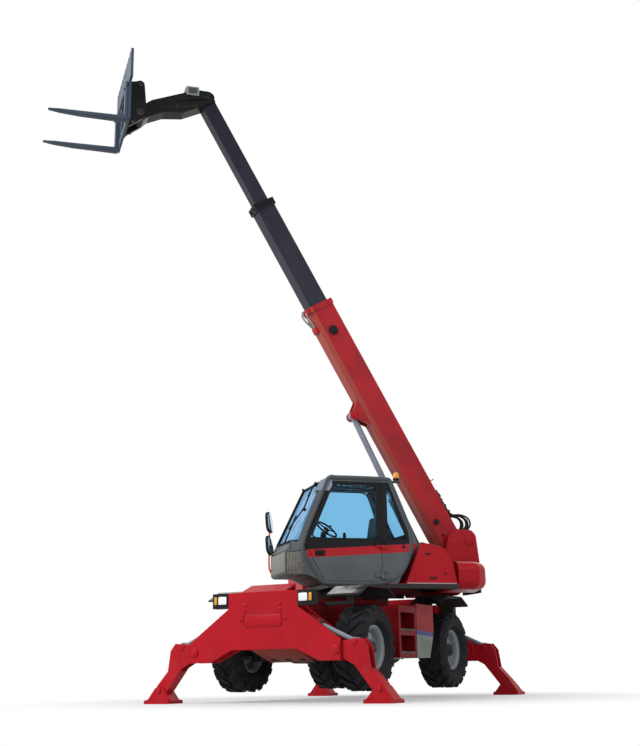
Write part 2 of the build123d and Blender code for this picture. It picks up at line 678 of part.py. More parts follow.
def boom_outer():
    boom = tube(OUTER_H, OUTER_W, OUTER_WALL, -OUTER_TAIL, OUTER_END, OUTER_CORNER)
    head_h, head_w = OUTER_H + 2 * HEAD_RIM, OUTER_W + 2 * HEAD_RIM
    head = section(head_h, head_w, OUTER_END - HEAD_LEN, OUTER_END, OUTER_CORNER)
    boom += head - section(OUTER_H - 2, OUTER_W - 2, OUTER_END - HEAD_LEN, OUTER_END, OUTER_CORNER)
    guide = section(OUTER_H - 2, OUTER_W - 2, OUTER_END - GUIDE_LEN, OUTER_END, OUTER_CORNER)
    boom += guide - section(MIDDLE_H + 2 * PAD_GAP, MIDDLE_W + 2 * PAD_GAP, OUTER_END - GUIDE_LEN, OUTER_END)
    top = OUTER_H / 2 - AXIS_DROP
    lug = prism_xz([(-140, top - 6), (260, top - 6), (90, 60), (-90, 60)], -OUTER_W / 2, OUTER_W / 2)
    boom += lug + rod((0, -OUTER_W / 2, 0), (0, OUTER_W / 2, 0), 110)
    boom += rod((0, 20 - CHEEK_Y1, 0), (0, CHEEK_Y1 - 20, 0), PIVOT_R)
    low = -AXIS_DROP - OUTER_H / 2
    eye = -AXIS_DROP - LIFT_EYE_DROP
    for y0, y1 in ((70, 110), (-110, -70)):
        ear = prism_xz([(LIFT_EYE_U - 260, low + 6), (LIFT_EYE_U + 200, low + 6), (LIFT_EYE_U + 70, eye),
                        (LIFT_EYE_U - 70, eye)], y0, y1)
        boom += ear + rod((LIFT_EYE_U, y0, eye), (LIFT_EYE_U, y1, eye), 75)
    return boom


def boom_middle():
    start = MIDDLE_END - MIDDLE_LEN
    boom = tube(MIDDLE_H, MIDDLE_W, MIDDLE_WALL, start, MIDDLE_END)
    gap = 2 * (OUTER_WALL + SLIDE_GAP)
    pad = section(OUTER_H - gap, OUTER_W - gap, start, start + 200, OUTER_CORNER)
    boom += pad - section(MIDDLE_H - 2, MIDDLE_W - 2, start, start + 200)
    collar = section(MIDDLE_H + 50, MIDDLE_W + 40, MIDDLE_END - 120, MIDDLE_END)
    collar += section(MIDDLE_H - 2, MIDDLE_W - 2, MIDDLE_END - GUIDE_LEN, MIDDLE_END)
    guide = section(INNER_H + 2 * PAD_GAP, INNER_W + 2 * PAD_GAP, MIDDLE_END - GUIDE_LEN, MIDDLE_END)
    return boom + (collar - guide)


def boom_inner():
    start = INNER_END - INNER_LEN
    boom = tube(INNER_H, INNER_W, INNER_WALL, start, INNER_END)
    gap = 2 * (MIDDLE_WALL + SLIDE_GAP)
    pad = section(MIDDLE_H - gap, MIDDLE_W - gap, start, start + 200)
    return boom + (pad - section(INNER_H - 2, INNER_W - 2, start, start + 200))


def boom_nose():
    # Gooseneck in the turret's upright plane
    low = boom_point(INNER_END, -AXIS_DROP - INNER_H / 2)
    high = boom_point(INNER_END, -AXIS_DROP + INNER_H / 2)
    outline = [high, (2210, 9605), NOSE_CREST, NOSE_KNEE, (3160, 9325), (3420, 9130), (3420, 8990),
               (3290, 8950),
               (3200, 9030), (2961, 9140), (2640, 9180), low]
    nose = prism_xz(outline, -NOSE_HALF_W, NOSE_HALF_W)
    nose += rod((TILT_PIN[0], -NOSE_HALF_W, TILT_PIN[1]), (TILT_PIN[0], NOSE_HALF_W, TILT_PIN[1]), 110)
    return nose - bore((TILT_PIN[0], -NOSE_HALF_W, TILT_PIN[1]), (TILT_PIN[0], NOSE_HALF_W, TILT_PIN[1]),
                       TILT_PIN_R + PIN_GAP)


def work_light():
    # Lamp box standing on the gooseneck's crest
    (x0, z0), (x1, z1) = NOSE_CREST, NOSE_KNEE
    base = [(x, z0 + (x - x0) * (z1 - z0) / (x1 - x0)) for x in (LIGHT_X0, LIGHT_X1)]
    return prism_xz(base + [(LIGHT_X1, LIGHT_Z1), (LIGHT_X0, LIGHT_Z1)], -LIGHT_HALF_W, LIGHT_HALF_W)


def fork_hitch():
    # Quick hitch on the tilt pin: two cheeks beside the nose, a cross plate and the upper hooks
    x, z = TILT_PIN
    reach = NOSE_HALF_W + HITCH_GAP + HITCH_T
    hitch = block(HITCH_X0, CARRIAGE_X0, -reach, reach, 8760, 9480)
    cheek = [(CARRIAGE_X0, 8760), (CARRIAGE_X0, 9560), (x + 10, 9600), (x - 60, 9540), (x - 105, z),
             (x - 50, z - 95)]
    for y0, y1 in ((reach - HITCH_T, reach), (-reach, HITCH_T - reach)):
        hitch += prism_xz(cheek, y0, y1) + rod((x, y0, z), (x, y1, z), 105)
        hitch += rod((x + 10, y0, 9540), (x + 10, y1, 9540), 70)
    return hitch + rod((x, -reach - 15, z), (x, reach + 15, z), TILT_PIN_R)


def fork_carriage():
    # Notched backrest plate over a frame of two rails and four posts
    half = CARRIAGE_HALF_W
    plate = block(CARRIAGE_X0, CARRIAGE_X1, -half, half, CARRIAGE_PLATE_Z, CARRIAGE_Z1)
    pitch = 2 * half / CARRIAGE_NOTCHES
    for i in range(CARRIAGE_NOTCHES):
        y = -half + (i + 0.5) * pitch
        plate -= block(CARRIAGE_X0, CARRIAGE_X1, y - 30, y + 30, CARRIAGE_Z1 - 55, CARRIAGE_Z1)
    frame = block(CARRIAGE_X0, CARRIAGE_X1, -RAIL_HALF_W, RAIL_HALF_W, CARRIAGE_Z0, CARRIAGE_PLATE_Z)
    for y0, y1 in ((230, 470), (-470, -230), (-150, 150)):
        frame -= block(CARRIAGE_X0, CARRIAGE_X1, y0, y1, CARRIAGE_Z0 + 100, CARRIAGE_PLATE_Z - 60)
    return plate + frame


def forks():
    y0 = FORK_SPREAD / 2 - FORK_W / 2
    tip = CARRIAGE_X1 + FORK_T + FORK_LEN
    profile = [(CARRIAGE_X1, FORK_Z0), (tip, FORK_Z0 + FORK_T - FORK_TIP_T), (tip, FORK_Z0 + FORK_T),
               (CARRIAGE_X1 + FORK_T, FORK_Z0 + FORK_T),
               (CARRIAGE_X1 + FORK_T, 9300), (CARRIAGE_X1, 9300)]
    fork = prism_xz(profile, y0, y0 + FORK_W)
    return [fork, mirror(fork, about=Plane.XZ)]


# Lift cylinder in the turret's upright plane
def lift_line(along):
    ex, ez = boom_point(LIFT_EYE_U, -AXIS_DROP - LIFT_EYE_DROP)
    dx, dz = ex - LIFT_BASE[0], ez - LIFT_BASE[1]
    reach = math.hypot(dx, dz)
    return (LIFT_BASE[0] + dx * along / reach, 0, LIFT_BASE[1] + dz * along / reach)


def lift_length():
    ex, ez = boom_point(LIFT_EYE_U, -AXIS_DROP - LIFT_EYE_DROP)
    return math.hypot(ex - LIFT_BASE[0], ez - LIFT_BASE[1])


def lift_barrel():
    lx, lz = LIFT_BASE
    barrel = rod(lift_line(0), lift_line(LIFT_BARREL_LEN), LIFT_R)
    barrel -= rod(lift_line(110), lift_line(LIFT_BARREL_LEN + 10), LIFT_ROD_R + PIN_GAP)
    barrel += rod((lx, -80, lz), (lx, 80, lz), LIFT_R)
    return barrel + rod((lx, -145, lz), (lx, 145, lz), LIFT_PIN_R)


def lift_rod():
    reach = lift_length()
    ex, _, ez = lift_line(reach)
    body = rod(lift_line(reach - LIFT_ROD_LEN), lift_line(reach), LIFT_ROD_R)
    return body + rod((ex, -55, ez), (ex, 55, ez), 65)


def save(name, shapes):
    solids = [solid for shape in shapes for solid in shape.solids()]
    item = solids[0] if len(solids) == 1 else Compound(children=solids)
    export_step(item, f"parts/{name}.step")


def main():
    os.makedirs("parts", exist_ok=True)
    save("chassis_frame", [chassis_frame()])
    save("slew_ring", [slew_ring()])
    save("step_box", [step_box()])
    save("left_tank", [left_tank()])
    save("fuel_tank", [fuel_tank()])
    save("fenders", [mirrored(fender(), *corner) for corner in CORNERS.values()])
    save("headlamps", [mirrored(headlamp(), *corner) for corner in CORNERS.values()])
    save("front_axle", [axle()])
    save("rear_axle", [mirrored(axle(), -1, 1)])
    save("front_outrigger_beam", [outrigger_beam()])
    save("rear_outrigger_beam", [mirrored(outrigger_beam(), -1, 1) + tow_hitch()])
    for corner, (fore, side) in CORNERS.items():
        for name, make in (("knuckle", knuckle), ("rim", rim), ("leg", leg), ("leg_rod", leg_rod)):
            save(f"{name}_{corner}", [mirrored(make(), fore, side)])
        rear = 0 if fore > 0 else -WHEELBASE
        save(f"tyre_{corner}", [Pos(rear, 0, 0) * mirrored(tyre(), 1, side)])
    turret = {
        "turret_frame": [turret_frame()], "counterweight": counterweight(), "engine_block": [engine_block()],
        "engine_wall": [engine_wall()], "engine_hood": [engine_hood()], "left_hood": [left_hood()],
        "cab_shell": [cab_shell()], "cab_glass": cab_glass(), "cab_door": [cab_door()],
        "door_glass": [door_glass()], "cab_seat": [cab_seat()], "cab_controls": [cab_controls()],
        "beacon": [beacon()], "mirrors": [mirrors()], "boom_nose": [boom_nose()],
        "work_light": [work_light()], "fork_hitch": [fork_hitch()], "fork_carriage": [fork_carriage()],
        "forks": forks(),
        "lift_barrel": [lift_barrel()], "lift_rod": [lift_rod()]}
    for name, shapes in turret.items():
        save(name, [turret_place(shape) for shape in shapes])
    for name, make in (("boom_outer", boom_outer), ("boom_middle", boom_middle), ("boom_inner", boom_inner)):
        save(name, [boom_place(make())])


main()
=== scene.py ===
"""Finishes, fittings and studio for a rotating telehandler that stands on its outriggers."""
import json
import math

import bpy
from bpy.props import FloatProperty, FloatVectorProperty, IntProperty, PointerProperty
from mathutils import Matrix, Vector


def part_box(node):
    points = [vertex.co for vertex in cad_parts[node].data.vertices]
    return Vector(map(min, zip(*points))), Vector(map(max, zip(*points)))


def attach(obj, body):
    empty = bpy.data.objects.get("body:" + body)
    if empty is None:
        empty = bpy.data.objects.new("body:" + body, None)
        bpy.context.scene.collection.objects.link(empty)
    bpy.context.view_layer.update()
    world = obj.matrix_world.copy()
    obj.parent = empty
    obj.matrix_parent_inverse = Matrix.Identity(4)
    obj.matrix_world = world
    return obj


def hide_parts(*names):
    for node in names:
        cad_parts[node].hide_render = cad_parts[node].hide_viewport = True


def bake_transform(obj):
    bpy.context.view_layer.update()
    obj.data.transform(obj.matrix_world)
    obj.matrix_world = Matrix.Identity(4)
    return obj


bl_info = {
    "name": "Rotating telehandler",
    "version": (1, 0, 0),
    "blender": (4, 5, 0),
    "location": "View3D > Sidebar > Telehandler",
    "description": "Paint, rubber, glass and fittings for a rotating telehandler on its outriggers",
    "category": "Object",
}

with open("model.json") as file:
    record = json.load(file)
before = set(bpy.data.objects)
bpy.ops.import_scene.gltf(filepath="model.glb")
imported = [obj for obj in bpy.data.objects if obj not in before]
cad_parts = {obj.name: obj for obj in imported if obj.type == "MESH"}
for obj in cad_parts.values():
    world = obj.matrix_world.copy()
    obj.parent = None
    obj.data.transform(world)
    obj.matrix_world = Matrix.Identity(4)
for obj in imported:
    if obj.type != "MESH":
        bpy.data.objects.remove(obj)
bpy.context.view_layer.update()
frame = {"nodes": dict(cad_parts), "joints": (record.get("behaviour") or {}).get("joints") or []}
NODES = frame["nodes"]
JOINTS = {joint["name"]: joint for joint in frame["joints"]}
CORNERS = {"fl": (1, 1), "fr": (1, -1), "rl": (-1, 1), "rr": (-1, -1)}

# Frames of the slewed turret and of the raised boom, taken from the joints
LUFF_AXIS = Vector(JOINTS["luff"]["axis"])
PIVOT = Vector(JOINTS["luff"]["pos_m"])
SLEW = math.atan2(LUFF_AXIS.x, -LUFF_AXIS.y)
TURRET = Matrix.Rotation(SLEW, 4, "Z")
BOOM_AXIS = Vector(JOINTS["telescope_middle"]["axis"]).normalized()
BOOM_UP = BOOM_AXIS.cross(-LUFF_AXIS)
BOOM = Matrix.Translation(PIVOT) @ Matrix((BOOM_AXIS, -LUFF_AXIS, BOOM_UP)).transposed().to_4x4()
CHASSIS = Matrix.Identity(4)

# Even, low shine of the finishes, and the fall of the cab's stripe towards the front
SPECULAR = 0.07
STRIPE_FALL = 0.067

# Edges blunter than these stay smooth, in degrees
SMOOTH_CONSTRUCTION = 26.0
SMOOTH_FITTINGS = 40.0

# Places that several fittings share, in metres
WHEEL_X = 1.375
BEAM_FACE = 2.440
BEAM_MIDDLE = 2.310
FOOT_Y = 1.690
LAMP_Z = 1.345
SHAFT_Z = 0.700
RAM_PIN_Y = 1.330
WINDOW_Y = 1.113
TOWER_Y = 0.2995
BOOM_DROP = -0.240
LIGHT_Y = 0.118
FORK_Y = 0.560
SCREEN_FOOT = (1.18, 2.17)
SCREEN_HEAD = (0.735, 3.06)
HOSE_ROWS = (-0.12, -0.06, 0.0, 0.06, 0.12)
HOSE_BOWS = (0.06, 0.0, 0.09, 0.03, 0.07)


class StageSettings(bpy.types.PropertyGroup):
    """Camera, lamps and floor."""
    camera_place: FloatVectorProperty(name="Camera place", description="Where the camera stands",
                                      default=(15.563, 8.040, 0.362), unit="LENGTH")
    camera_yaw: FloatProperty(
        name="Camera heading", description="Heading from +X", default=math.radians(208.449), subtype="ANGLE")
    camera_pitch: FloatProperty(
        name="Camera pitch", description="Look up from level", default=math.radians(14.904), subtype="ANGLE")
    camera_roll: FloatProperty(
        name="Camera roll", description="Roll about the view", default=math.radians(-0.93), subtype="ANGLE")
    lens: FloatProperty(name="Lens", description="Focal length on a 36 mm frame", default=54.595)
    key_power: FloatProperty(name="Key lamp", description="Power of the lamp ahead", default=2050.0,
                             subtype="POWER")
    fill_power: FloatProperty(name="Fill lamp", description="Power of the side lamp", default=740.0,
                              subtype="POWER")
    sky: FloatProperty(name="Sky", description="Strength of the even light", default=0.55, min=0.0)
    floor: FloatVectorProperty(name="Floor", description="Floor colour", default=(0.55, 0.55, 0.55),
                               subtype="COLOR")


class PaintSettings(bpy.types.PropertyGroup):
    """Colours of the finishes."""
    crimson: FloatVectorProperty(
        name="Crimson", description="Body paint", default=(0.40, 0.008, 0.016), subtype="COLOR")
    navy: FloatVectorProperty(
        name="Navy", description="Boom sections", default=(0.019, 0.019, 0.032), subtype="COLOR")
    black: FloatVectorProperty(
        name="Black", description="Gooseneck and hitch", default=(0.010, 0.010, 0.011), subtype="COLOR")
    slate: FloatVectorProperty(
        name="Slate", description="Carriage and forks", default=(0.055, 0.073, 0.105), subtype="COLOR")
    cab: FloatVectorProperty(
        name="Cab grey", description="Cab pillars and panels", default=(0.105, 0.122, 0.132), subtype="COLOR")
    rim: FloatVectorProperty(
        name="Rim grey", description="Wheel rims", default=(0.32, 0.36, 0.385), subtype="COLOR")
    glass: FloatVectorProperty(
        name="Glass", description="Window tint", default=(0.42, 0.70, 0.87), subtype="COLOR")
    amber: FloatVectorProperty(
        name="Amber", description="Beacon and indicators", default=(0.74, 0.31, 0.025), subtype="COLOR")
    rubber: FloatVectorProperty(
        name="Rubber", description="Tyres and hoses", default=(0.017, 0.017, 0.020), subtype="COLOR")


class FittingSettings(bpy.types.PropertyGroup):
    """Sizes of the small fittings."""
    nuts: IntProperty(name="Wheel nuts", description="Nuts on each wheel", default=8)
    nut_circle: FloatProperty(name="Nut circle", description="Radius of the nuts' circle", default=0.165,
                              unit="LENGTH")
    nut: FloatProperty(name="Nut size", description="Radius of a wheel nut", default=0.019, unit="LENGTH")
    bolt: FloatProperty(name="Bolt size", description="Radius of a bolt head", default=0.016, unit="LENGTH")
    hose: FloatProperty(name="Hose", description="Radius of a hydraulic line", default=0.016, unit="LENGTH")
    seal: FloatProperty(name="Window seal", description="Width of a window's rubber", default=0.030,
                        unit="LENGTH")


class Shade:
    """A node's output that takes part in sums and products as a number would."""

    def __init__(self, finish, socket):
        self.finish = finish
        self.socket = socket

    def combine(self, operation, first, second):
        return self.finish.node("ShaderNodeMath", {"operation": operation}, {0: first, 1: second})

    def __add__(self, other):
        return self.combine("ADD", self, other)

    def __radd__(self, other):
        return self.combine("ADD", other, self)

    def __sub__(self, other):
        return self.combine("SUBTRACT", self, other)

    def __rsub__(self, other):
        return self.combine("SUBTRACT", other, self)

    def __mul__(self, other):
        return self.combine("MULTIPLY", self, other)

    def __rmul__(self, other):
        return self.combine("MULTIPLY", other, self)

    def __gt__(self, other):
        return self.combine("GREATER_THAN", self, other)

    def __lt__(self, other):
        return self.combine("LESS_THAN", self, other)

    def __pow__(self, other):
        return self.combine("POWER", self, other)


class Finish:
    """A material with one principled shader, to which any other node is added by its type."""

    def __init__(self, name, **fixed):
        self.material = bpy.data.materials.new(name)
        self.material.use_nodes = True
        self.tree = self.material.node_tree
        self.shader = self.tree.nodes["Principled BSDF"]
        self.shader.inputs["Specular IOR Level"].default_value = SPECULAR
        self.place = self.node("ShaderNodeTexCoord", out="Object")
        for socket, value in fixed.items():
            self.shader.inputs[socket.replace("_", " ")].default_value = value

    def node(self, kind, settings=None, sockets=None, out=0):
        made = self.tree.nodes.new(kind)
        for key, value in (settings or {}).items():
            setattr(made, key, value)
        for key, value in (sockets or {}).items():
            self.join(made.inputs[key], value)
        return Shade(self, made.outputs[out])

    def join(self, socket, value):
        if isinstance(value, Shade):
            self.tree.links.new(value.socket, socket)
        else:
            socket.default_value = value

    def feed(self, **sockets):
        for socket, value in sockets.items():
            self.join(self.shader.inputs[socket.replace("_", " ")], value)
        return self.material

    def noise(self, scale, detail=4.0, roughness=0.55, where=None):
        sockets = {"Vector": where or self.place, "Scale": scale, "Detail": detail, "Roughness": roughness}
        return self.node("ShaderNodeTexNoise", {}, sockets)

    def mix(self, factor, first, second):
        made = self.node("ShaderNodeMix", {"data_type": "RGBA"}, {"Factor": factor}, out=2)
        inputs = made.socket.node.inputs
        for index, value in ((6, first), (7, second)):
            self.join(inputs[index], value if isinstance(value, Shade) else (*value, 1.0))
        return made

    def ramp(self, value, low, high):
        return self.node("ShaderNodeMapRange", {"interpolation_type": "SMOOTHSTEP"},
                         {"Value": value, "From Min": low, "From Max": high})

    def turned(self, frame_matrix):
        """Coordinates in another frame of the machine."""
        back = frame_matrix.inverted()
        angles = back.to_euler()
        return self.node("ShaderNodeMapping", {}, {"Vector": self.place, "Location": back.translation,
                                                  "Rotation": angles})

    def split(self, vector):
        made = self.node("ShaderNodeSeparateXYZ", {}, {"Vector": vector})
        outputs = made.socket.node.outputs
        return [Shade(self, outputs[axis]) for axis in "XYZ"]

    def facing(self):
        """The surface's own upright part, one where it faces the sky."""
        normal = self.node("ShaderNodeNewGeometry", out="Normal")
        return self.split(normal)[2]

    def bump(self, height, strength, distance):
        return self.node("ShaderNodeBump", {}, {"Strength": strength, "Distance": distance, "Height": height})


def scaled(colour, factor):
    return tuple(channel * factor for channel in colour)


def painted(name, colour, gloss=0.38, coat=0.04, dust=0.18, worn=0.25, dark_below=None):
    """Sprayed paint with faint orange peel, clouded tone, dust on ledges and scuffs low down."""
    finish = Finish(name, Coat_Roughness=0.12)
    cloud = finish.ramp(finish.noise(1.7, 3.0), 0.35, 0.7)
    speck = finish.ramp(finish.noise(38.0, 6.0, 0.7), 0.60, 0.74)
    height = finish.split(finish.place)[2]
    low = finish.ramp(height, 1.3, 0.1)
    ledge = finish.ramp(finish.facing(), 0.6, 1.0)
    grime = finish.ramp(finish.noise(5.0, 6.0, 0.65), 0.42, 0.75)
    dirt = (ledge * 0.55 + low * 0.45) * grime * dust
    tone = finish.mix(cloud, colour, scaled(colour, 0.86))
    tone = finish.mix(dirt, tone, (0.20, 0.155, 0.125))
    tone = finish.mix(speck * low * worn, tone, (0.16, 0.12, 0.11))
    if dark_below is not None:
        tone = finish.mix(height < dark_below, tone, (0.030, 0.030, 0.032))
    peel = finish.noise(420.0, 2.0)
    normal = finish.bump(peel, 0.10, 0.0006)
    return finish.feed(Base_Color=tone, Roughness=gloss + dirt * 0.6 + cloud * 0.06,
                       Coat_Weight=coat - dirt * coat, Normal=normal)


def boom_paint(name, colour, collar, collar_end, under=None):
    """Satin paint with drag lines along the boom, a black collar at its head and, where a colour is given, a
    paler orange-brown underside that is painted light.
    """
    finish = Finish(name, Coat_Roughness=0.25)
    along, side, up = finish.split(finish.turned(BOOM))
    drawn = finish.node("ShaderNodeCombineXYZ", {}, {"X": along * 0.8, "Y": side * 60.0, "Z": up * 60.0})
    streak = finish.ramp(finish.noise(1.0, 5.0, 0.6, drawn), 0.45, 0.75)
    cloud = finish.ramp(finish.noise(2.2, 3.0), 0.35, 0.7)
    tone = finish.mix(cloud, colour, scaled(colour, 0.72))
    if under is not None:
        normal = finish.node("ShaderNodeTexCoord", out="Normal")
        lean = finish.node("ShaderNodeVectorMath", {"operation": "DOT_PRODUCT"}, {0: normal, 1: -BOOM_UP},
                           out="Value")
        # where a colour is given, the downward faces take it: painted light, as if the underside were lit
        # from low in front
        tone = finish.mix(finish.ramp(lean, 0.60, 0.72), tone, under)
    tone = finish.mix(streak * 0.25, tone, (0.060, 0.064, 0.085))
    head = (along > collar) * (along < collar_end)
    tone = finish.mix(head, tone, (0.008, 0.008, 0.009))
    normal = finish.bump(streak, 0.12, 0.0008)
    return finish.feed(Base_Color=tone, Roughness=0.34 + streak * 0.18, Coat_Weight=0.06 - head * 0.05,
                       Normal=normal)


def cab_paint(name, paint):
    """Grey cab walls with black window surrounds and a crimson stripe below the left windows."""
    finish = Finish(name, Coat_Roughness=0.3)
    x, y, z = finish.split(finish.turned(TURRET))
    grain = finish.noise(260.0, 3.0)
    cloud = finish.ramp(finish.noise(2.0, 3.0), 0.35, 0.7)
    grey = finish.mix(cloud, paint.cab, scaled(paint.cab, 0.84))
    left = y > 1.095
    inside = (x > -0.66 - (z - 2.2) * -0.40) * (x < 1.0 - (z - 2.2) * 0.43)
    fall = x * STRIPE_FALL
    black_zone = left * inside * (z > 2.128 - fall) * (z < 3.075)
    stripe = left * (z > 2.024 - fall) * (z < 2.140 - fall) * (x > -0.72) * (x < 0.955)
    grey = finish.mix(z > 3.10, grey, scaled(paint.cab, 0.55))
    tone = finish.mix(black_zone, grey, (0.010, 0.010, 0.012))
    tone = finish.mix(stripe, tone, paint.crimson)
    tone = finish.mix(left * (z > 2.93) * (x > 0.56), tone, (0.26, 0.32, 0.40))
    indoors = (y > 0.285) * (y < 1.055) * (z > 1.675) * (z < 3.085) * (x < 1.18)
    tone = finish.mix(indoors * 0.75, tone, (0.020, 0.021, 0.023))
    normal = finish.bump(grain, 0.18, 0.0008)
    return finish.feed(Base_Color=tone, Roughness=0.42 + cloud * 0.08 - stripe * 0.15,
                       Coat_Weight=0.03 + stripe * 0.1, Normal=normal)


def tank_paint(name):
    """Moulded tank: dull crimson above a blue band, grey below."""
    finish = Finish(name, Coat_Roughness=0.3)
    x, _, z = finish.split(finish.place)
    cloud = finish.ramp(finish.noise(3.0, 4.0), 0.35, 0.7)
    edge = 0.936 + x * 0.05
    upper = finish.mix(cloud, (0.30, 0.020, 0.022), (0.22, 0.022, 0.022))
    lower = finish.mix(cloud, (0.245, 0.265, 0.230), (0.17, 0.18, 0.16))
    tone = finish.mix(z > edge, lower, upper)
    band = (z > edge - 0.03) * (z < edge + 0.03)
    tone = finish.mix(band, tone, (0.06, 0.075, 0.22))
    normal = finish.bump(finish.noise(180.0, 3.0), 0.15, 0.0008)
    return finish.feed(Base_Color=tone, Roughness=0.40 + cloud * 0.12, Normal=normal)


def plastic(name, colour, rough=0.5, grain=220.0, dust=0.3, film=(0.22, 0.21, 0.20)):
    """Moulded plastic with a fine grain and dust on what faces up, which with a pale, heavy film also paints
    a highlight.
    """
    finish = Finish(name)
    pebble = finish.node("ShaderNodeTexVoronoi", {"feature": "F1"}, {"Vector": finish.place, "Scale": grain})
    cloud = finish.ramp(finish.noise(3.0, 4.0), 0.35, 0.72)
    ledge = finish.ramp(finish.facing(), 0.5, 1.0)
    # dust on up-facing surfaces; with a pale film and heavy dust it is also a painted highlight
    dirt = ledge * cloud * dust
    tone = finish.mix(cloud * 0.4, colour, scaled(colour, 0.7))
    tone = finish.mix(dirt, tone, film)
    return finish.feed(Base_Color=tone, Roughness=rough + dirt * 0.4 + cloud * 0.06,
                       Normal=finish.bump(pebble, 0.15, 0.0012))


def tyre_rubber(name, colour):
    """Black rubber, paler where dust lies in the tread, with fine mould lines on the walls."""
    finish = Finish(name)
    cloud = finish.ramp(finish.noise(6.0, 5.0, 0.65), 0.38, 0.72)
    fine = finish.noise(140.0, 4.0)
    height = finish.split(finish.place)[2]
    low = finish.ramp(height, 0.75, 0.1)
    tone = finish.mix(cloud * 0.6, colour, scaled(colour, 1.9))
    tone = finish.mix(low * cloud * 0.35, tone, (0.085, 0.070, 0.055))
    return finish.feed(Base_Color=tone, Roughness=0.62 + cloud * 0.2, Normal=finish.bump(fine, 0.22, 0.002))


def rim_paint(name, colour):
    """Wheel paint with painted shade in the dish and on a step ring, and darker round the hub."""
    finish = Finish(name, Coat_Roughness=0.2)
    x, _, z = finish.split(finish.place)
    low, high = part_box("rim_fl")
    middle = (low + high) / 2
    span = finish.node("ShaderNodeMath", {"operation": "ABSOLUTE"}, {0: x}) - middle.x
    rise = z - middle.z
    radius = (span * span + rise * rise) ** 0.5
    dish = (radius > 0.215) * (radius < 0.262)
    step = (radius > 0.278) * (radius < 0.287)
    hub = radius < 0.125
    cloud = finish.ramp(finish.noise(9.0, 5.0, 0.65), 0.40, 0.75)
    tone = finish.mix(cloud * 0.35, colour, scaled(colour, 0.62))
    # the dish and the step ring are darkened as painted shade in the rim's hollow
    tone = finish.mix(dish * 0.55, tone, scaled(colour, 0.35))
    tone = finish.mix(step * 0.80, tone, scaled(colour, 0.25))
    tone = finish.mix(hub * 0.85, tone, (0.030, 0.031, 0.033))
    return finish.feed(Base_Color=tone, Roughness=0.36 + cloud * 0.2, Coat_Weight=0.06 - cloud * 0.04)


def bare_metal(name, colour, rough, streaks=90.0):
    """Metal with brushed lines."""
    finish = Finish(name)
    x, y, z = finish.split(finish.place)
    drawn = finish.node("ShaderNodeCombineXYZ", {}, {"X": x * streaks, "Y": y * streaks, "Z": z * 3.0})
    brushed = finish.ramp(finish.noise(1.0, 4.0, 0.6, drawn), 0.35, 0.7)
    tone = finish.mix(brushed * 0.5, colour, scaled(colour, 0.75))
    return finish.feed(Base_Color=tone, Metallic=1.0 - brushed * 0.05, Roughness=rough + brushed * 0.12)


def cast_metal(name, colour):
    """Cast iron under thin dark paint, oily and dusty in patches."""
    finish = Finish(name)
    coarse = finish.noise(60.0, 5.0, 0.6)
    cloud = finish.ramp(finish.noise(4.0, 5.0, 0.65), 0.4, 0.72)
    tone = finish.mix(cloud, colour, (0.085, 0.068, 0.055))
    return finish.feed(Base_Color=tone, Metallic=0.35 - cloud * 0.3, Roughness=0.48 + cloud * 0.3,
                       Normal=finish.bump(coarse, 0.35, 0.003))


def window_glass(name, colour):
    """Tinted glass with a faint film of dust; on the raked windscreen a flat blue layer is a painted sky
    reflection.
    """
    finish = Finish(name, Transmission_Weight=1.0, IOR=1.12)
    film = finish.ramp(finish.noise(7.0, 5.0), 0.45, 0.8)
    tone = finish.mix(film * 0.12, colour, (0.75, 0.82, 0.88))
    finish.feed(Base_Color=tone, Roughness=0.015 + film * 0.03)
    x, _, z = finish.split(finish.turned(TURRET))
    ahead = finish.ramp(x + (z - 2.17) * 0.5, 0.99, 1.05)
    # a flat blue diffuse on the windscreen stands in for the sky's reflection: painted reflection
    painted_sky_reflection = finish.node("ShaderNodeBsdfDiffuse", {}, {"Color": (0.23, 0.45, 0.69, 1.0)})
    clear = Shade(finish, finish.shader.outputs[0])
    mixed = finish.node("ShaderNodeMixShader", {}, {0: ahead * 0.55 + film * 0.04, 1: clear, 2: painted_sky_reflection})
    finish.tree.links.new(mixed.socket, finish.tree.nodes["Material Output"].inputs["Surface"])
    return finish.material


def lens(name, colour, pitch):
    """Ribbed lamp lens."""
    finish = Finish(name, Coat_Roughness=0.05)
    ribs = finish.node("ShaderNodeTexWave", {"bands_direction": "Y"},
                       {"Vector": finish.place, "Scale": pitch})
    tone = finish.mix(ribs * 0.35, colour, scaled(colour, 0.6))
    return finish.feed(Base_Color=tone, Roughness=0.12 + ribs * 0.08, Coat_Weight=0.6 - ribs * 0.1,
                       Normal=finish.bump(ribs, 0.3, 0.003))


def cushion_cloth(name, colour):
    """Woven seat cover."""
    finish = Finish(name, Sheen_Weight=0.3)
    warp = finish.node("ShaderNodeTexWave", {"bands_direction": "Z"},
                       {"Vector": finish.place, "Scale": 160.0})
    weft = finish.node("ShaderNodeTexWave", {"bands_direction": "DIAGONAL"},
                       {"Vector": finish.place, "Scale": 160.0})
    weave = warp * weft
    tone = finish.mix(weave, colour, scaled(colour, 1.8))
    return finish.feed(Base_Color=tone, Roughness=0.85 + weave * 0.1, Normal=finish.bump(weave, 0.4, 0.001))


def chequer(name, colour, dark):
    """Pressed mesh panel with a lattice of diamond holes."""
    finish = Finish(name)
    x, y, z = finish.split(finish.turned(TURRET))
    skew = finish.node("ShaderNodeCombineXYZ", {}, {"X": (x - y) * 0.7 + z, "Y": (x - y) * 0.7 - z, "Z": 0.0})
    cell = finish.node("ShaderNodeTexChecker", {}, {"Vector": skew, "Scale": 52.0}, out=1)
    cloud = finish.ramp(finish.noise(12.0, 5.0, 0.7), 0.35, 0.7)
    tone = finish.mix(cell * (0.6 + cloud * 0.4), colour, dark)
    return finish.feed(Base_Color=tone, Roughness=0.45 + cell * 0.3, Normal=finish.bump(cell, 0.5, -0.004))


